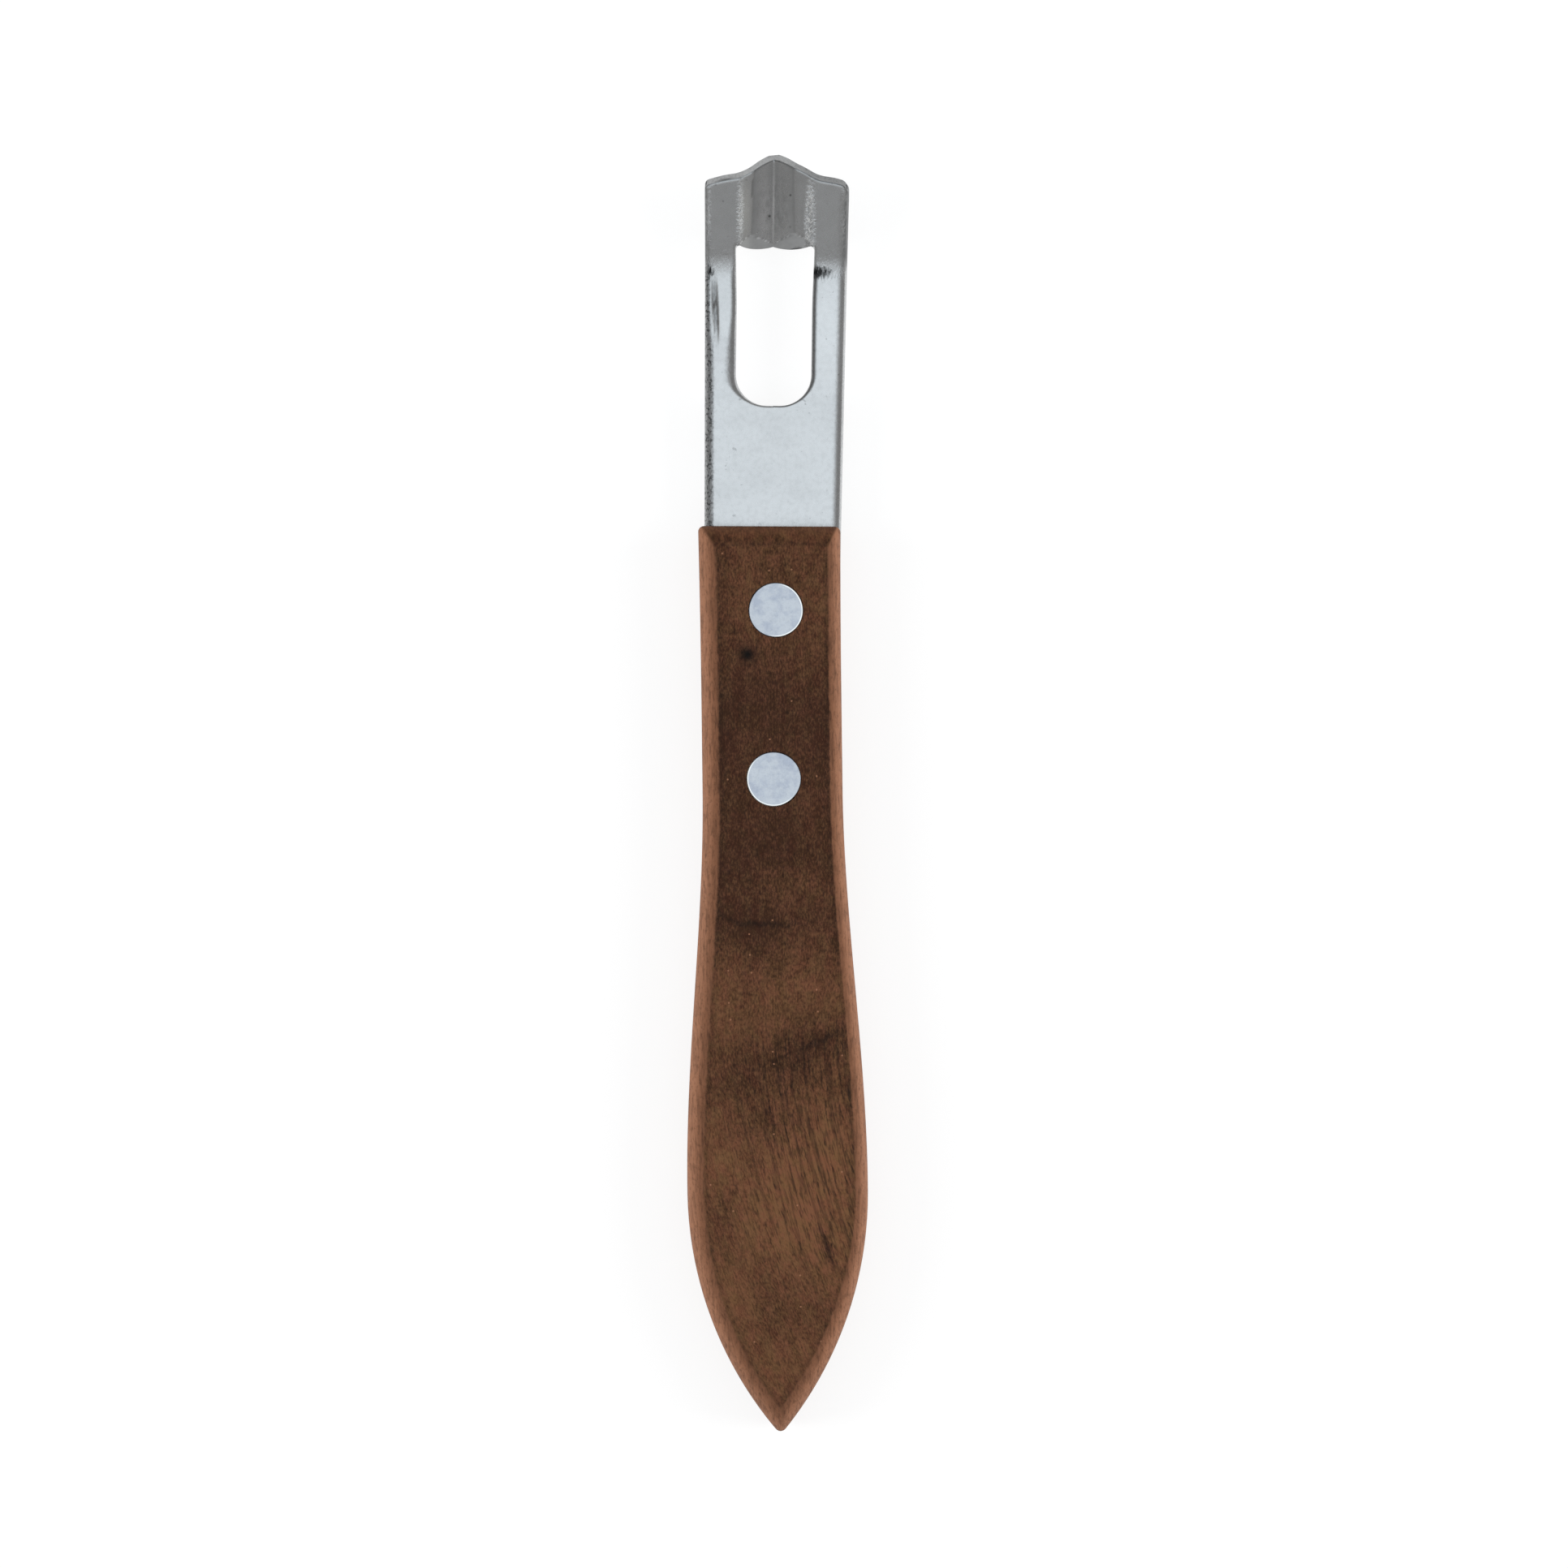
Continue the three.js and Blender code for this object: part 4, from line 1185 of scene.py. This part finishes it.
def make_rivet_half(settings, node, name, metal, hollow, rim_turn):
    """A turned rivet half: a head from a cylinder, then a stem drawn out of its inner face.

    The turn is the direction that the rim's painted highlight faces, counted from +X.
    """
    rivets = settings.rivets
    low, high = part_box(node)
    radius = (high.x - low.x) / 2
    facing = -1 if hollow else 1
    outer = low.z if hollow else high.z
    stem_end = high.z if hollow else low.z
    inner = outer - facing * rivets.head_height
    centre = Vector(((low.x + high.x) / 2, (low.y + high.y) / 2, (outer + inner) / 2))
    clear_selection()
    bpy.ops.mesh.primitive_cylinder_add(
        vertices=72, radius=radius, depth=rivets.head_height, location=centre
    )
    piece = bpy.context.object
    bpy.ops.object.transform_apply(location=True)
    edit("FACE")
    select_faces(piece, lambda middle, normal: normal.z * facing > 0.9)
    bpy.ops.mesh.bevel(offset=rivets.rim, segments=6, profile=0.5, affect="EDGES", clamp_overlap=True)
    select_faces(piece, lambda middle, normal: normal.z * facing > 0.999 and abs(middle.z - outer) < 1e-6)
    ring_widths = (0.06 * MM, 0.05 * MM, 0.5 * MM, 1.0 * MM)
    for width in ring_widths:
        bpy.ops.mesh.inset(thickness=width)
    bpy.ops.mesh.select_all(action="DESELECT")
    select_faces(piece, lambda middle, normal: normal.z * facing > 0.3)
    bpy.ops.transform.rotate(
        value=rivets.tilt, orient_axis="Y", center_override=(centre.x, centre.y, outer),
    )
    bpy.ops.transform.translate(value=(0, 0, -facing * radius * math.sin(rivets.tilt)))
    select_faces(piece, lambda middle, normal: normal.z * facing < -0.9)
    stem = rivets.tube if hollow else rivets.stem
    bpy.ops.mesh.inset(thickness=radius - stem / 2)
    bpy.ops.mesh.extrude_region_move(TRANSFORM_OT_translate={"value": (0, 0, stem_end - inner)})
    if hollow:
        bpy.ops.mesh.inset(thickness=(rivets.tube - rivets.bore) / 2)
        bpy.ops.mesh.extrude_region_move(TRANSFORM_OT_translate={"value": (0, 0, inner - stem_end)})
    bpy.ops.object.mode_set(mode="OBJECT")

    # The rim's painted highlight, and a head that is a little out of round
    rim_inside, rim_outside = radius - 0.205 * MM, radius - 0.165 * MM
    out_of_round = 0.012
    bright = []
    for vertex in piece.data.vertices:
        away = Vector((vertex.co.x - centre.x, vertex.co.y - centre.y))
        turn = math.atan2(away.y, away.x)
        rim = smooth(away.length, rim_inside, rim_outside)
        bright.append(rim * smooth(math.cos(turn - rim_turn), -0.2, 0.35))
        if away.length > stem:
            away *= 1 - out_of_round * (1 + math.sin(3 * turn + rim_turn)) / 2
            vertex.co.x, vertex.co.y = centre.x + away.x, centre.y + away.y
    piece.data.attributes.new("bright_rim", "FLOAT", "POINT").data.foreach_set("value", bright)
    finish_piece(piece, name, node, metal, sharp_angle=35)


def make_rivets(settings):
    """Both halves of the two rivets."""
    metal = rivet_metal(settings.rivets)
    rim_turns = (-0.2, -2.4)
    for turn, rivet in zip(rim_turns, RIVETS):
        make_rivet_half(settings, rivet + "_stud", rivet + "_head", metal, False, turn)
        make_rivet_half(settings, rivet + "_sleeve", rivet + "_back", metal, True, turn)


# Stage

TENT_RADIUS = 5.0


def make_floor(stage):
    """A white floor that keeps a faint shadow. It lies a hair below the handle's back."""
    gap, shaded, glowing = 0.02 * MM, 0.35, 0.78
    clear_selection()
    bpy.ops.mesh.primitive_plane_add(size=2 * TENT_RADIUS, location=(0, 0, -gap))
    floor = bpy.context.object
    floor.name = "floor"
    made = Shader("floor")
    nodes = made.tree.nodes
    nodes.remove(made.surface)
    ray = made.node("ShaderNodeLightPath").outputs
    seen = made.maths("MAXIMUM", ray["Is Camera Ray"], ray["Is Glossy Ray"])
    seen = made.maths("MAXIMUM", seen, ray["Is Transmission Ray"])
    shade = made.node("ShaderNodeBsdfDiffuse", {"Color": rgba([c * shaded for c in stage.floor])})
    glow = made.node("ShaderNodeEmission", {"Color": (1, 1, 1, 1), "Strength": glowing})
    bright = made.node("ShaderNodeAddShader", {0: shade.outputs[0], 1: glow.outputs[0]})
    plain = made.node("ShaderNodeBsdfDiffuse", {"Color": rgba(stage.floor)})
    both = made.node("ShaderNodeMixShader", {0: seen, 1: plain.outputs[0], 2: bright.outputs[0]})
    made.put(nodes["Material Output"].inputs["Surface"], both.outputs[0])
    floor.data.materials.append(made.material)


def make_tent():
    """A light tent round the knife: bright overhead, grey towards the sides. The camera doesn't see it."""
    clear_selection()
    bpy.ops.mesh.primitive_uv_sphere_add(segments=64, ring_count=32, radius=TENT_RADIUS)
    tent = bpy.context.object
    tent.name = "light_tent"
    edit("FACE")
    select_faces(tent, lambda centre, normal: centre.z < 0)
    bpy.ops.mesh.delete(type="FACE")
    bpy.ops.object.mode_set(mode="OBJECT")
    made = Shader("light_tent")
    nodes = made.tree.nodes
    nodes.remove(made.surface)
    place = made.node("ShaderNodeTexCoord").outputs["Object"]
    way = made.node("ShaderNodeVectorMath", {0: place}, operation="NORMALIZE").outputs[0]
    up = made.split(way)[2]
    ramp = made.node("ShaderNodeValToRGB", {"Fac": up})
    warm, cold, strength = (1.0, 0.985, 0.975), (0.955, 1.02, 1.07), 1.06

    # Height over the floor as a share of the radius, brightness, and how far the light is from warm to cold
    stops = (
        (0.0, 0.285, 0.0), (0.5, 0.28, 0.0), (0.66, 0.24, 0.0), (0.73, 0.31, 0.1), (0.81, 0.46, 0.4),
        (0.883, 0.68, 0.7), (0.94, 0.92, 1.0), (0.975, 1.0, 1.0),
    )
    while len(ramp.color_ramp.elements) < len(stops):
        ramp.color_ramp.elements.new(0.5)
    for element, (position, level, coolness) in zip(ramp.color_ramp.elements, stops):
        element.position = position
        element.color = rgba([level * blend(w, c, coolness) for w, c in zip(warm, cold)])
    glow = made.node("ShaderNodeEmission", {"Color": ramp.outputs[0], "Strength": strength})
    made.put(nodes["Material Output"].inputs["Surface"], glow.outputs[0])
    tent.data.materials.append(made.material)
    tent.visible_camera = False


def make_lamp(name, side):
    """A soft fill lamp at one side that points at the knife and doesn't show in the metal."""
    place = (side * 2.2, 0.0, 1.22)
    lamp = bpy.data.lights.new(name, "AREA")
    lamp.shape = "RECTANGLE"
    lamp.size, lamp.size_y = 1.22, 2.44
    lamp.energy = 36.0
    holder = bpy.data.objects.new(name, lamp)
    holder.location = place
    holder.rotation_euler = (-Vector(place)).to_track_quat("-Z", "Y").to_euler()
    holder.visible_glossy = False
    holder.visible_camera = False
    bpy.context.collection.objects.link(holder)


def make_camera(stage):
    """Straight above the knife, rolled and shifted as in the photo."""
    camera = bpy.data.cameras.new("camera")
    camera.sensor_width = 36
    camera.lens = 250
    holder = bpy.data.objects.new("camera", camera)
    distance = stage.view_width * camera.lens / camera.sensor_width
    shift_x, shift_y, edge_height = 1.37 * MM, 1.18 * MM, 8.5 * MM
    roll = math.radians(-0.727)
    holder.location = (shift_x, shift_y, distance + edge_height)
    holder.rotation_euler = (0, 0, roll)
    camera.clip_start, camera.clip_end = 0.01, 20
    bpy.context.collection.objects.link(holder)
    bpy.context.scene.camera = holder


def make_stage(settings):
    """The floor, the lights, the camera and a white world."""
    stage = settings.stage
    make_floor(stage)
    make_tent()
    for name, side in (("left_fill", -1), ("right_fill", 1)):
        make_lamp(name, side)
    make_camera(stage)
    scene = bpy.context.scene
    world = bpy.data.worlds.new("studio")
    scene.world = world
    world.use_nodes = True
    world.node_tree.nodes["Background"].inputs["Color"].default_value = (1, 1, 1, 1)
    scene.view_settings.view_transform = "Standard"


# Operators and panel

class KNIFE_OT_handle(bpy.types.Operator):
    """Makes the walnut handle"""

    bl_idname = "channel_knife.handle"
    bl_label = "Handle"

    def execute(self, context):
        make_handle(context.scene.channel_knife)
        return {"FINISHED"}


class KNIFE_OT_blade(bpy.types.Operator):
    """Makes the steel blade"""

    bl_idname = "channel_knife.blade"
    bl_label = "Blade"

    def execute(self, context):
        make_blade(context.scene.channel_knife)
        return {"FINISHED"}


class KNIFE_OT_rivets(bpy.types.Operator):
    """Makes both halves of the two rivets"""

    bl_idname = "channel_knife.rivets"
    bl_label = "Rivets"

    def execute(self, context):
        make_rivets(context.scene.channel_knife)
        return {"FINISHED"}


class KNIFE_OT_stage(bpy.types.Operator):
    """Makes the floor, the lights and the camera"""

    bl_idname = "channel_knife.stage"
    bl_label = "Stage"

    def execute(self, context):
        make_stage(context.scene.channel_knife)
        return {"FINISHED"}


class KNIFE_PT_panel(bpy.types.Panel):
    """Buttons and settings of the channel knife"""

    bl_idname = "KNIFE_PT_panel"
    bl_label = "Channel knife"
    bl_space_type = "VIEW_3D"
    bl_region_type = "UI"
    bl_category = "Channel knife"

    def draw(self, context):
        settings = context.scene.channel_knife
        for operator, group in (
            (KNIFE_OT_handle, settings.handle),
            (KNIFE_OT_blade, settings.blade),
            (KNIFE_OT_rivets, settings.rivets),
            (KNIFE_OT_stage, settings.stage),
        ):
            box = self.layout.box()
            box.operator(operator.bl_idname)
            for name in group.__annotations__:
                box.prop(group, name)


CLASSES = (
    HandleSettings, BladeSettings, RivetSettings, StageSettings, KnifeSettings,
    KNIFE_OT_handle, KNIFE_OT_blade, KNIFE_OT_rivets, KNIFE_OT_stage, KNIFE_PT_panel,
)


def register():
    for kind in CLASSES:
        bpy.utils.register_class(kind)
    bpy.types.Scene.channel_knife = PointerProperty(type=KnifeSettings)


def unregister():
    del bpy.types.Scene.channel_knife
    for kind in reversed(CLASSES):
        bpy.utils.unregister_class(kind)


def main():
    register()
    bpy.ops.channel_knife.blade()
    bpy.ops.channel_knife.handle()
    bpy.ops.channel_knife.rivets()
    bpy.ops.channel_knife.stage()


if __name__ == "__main__":
    main()
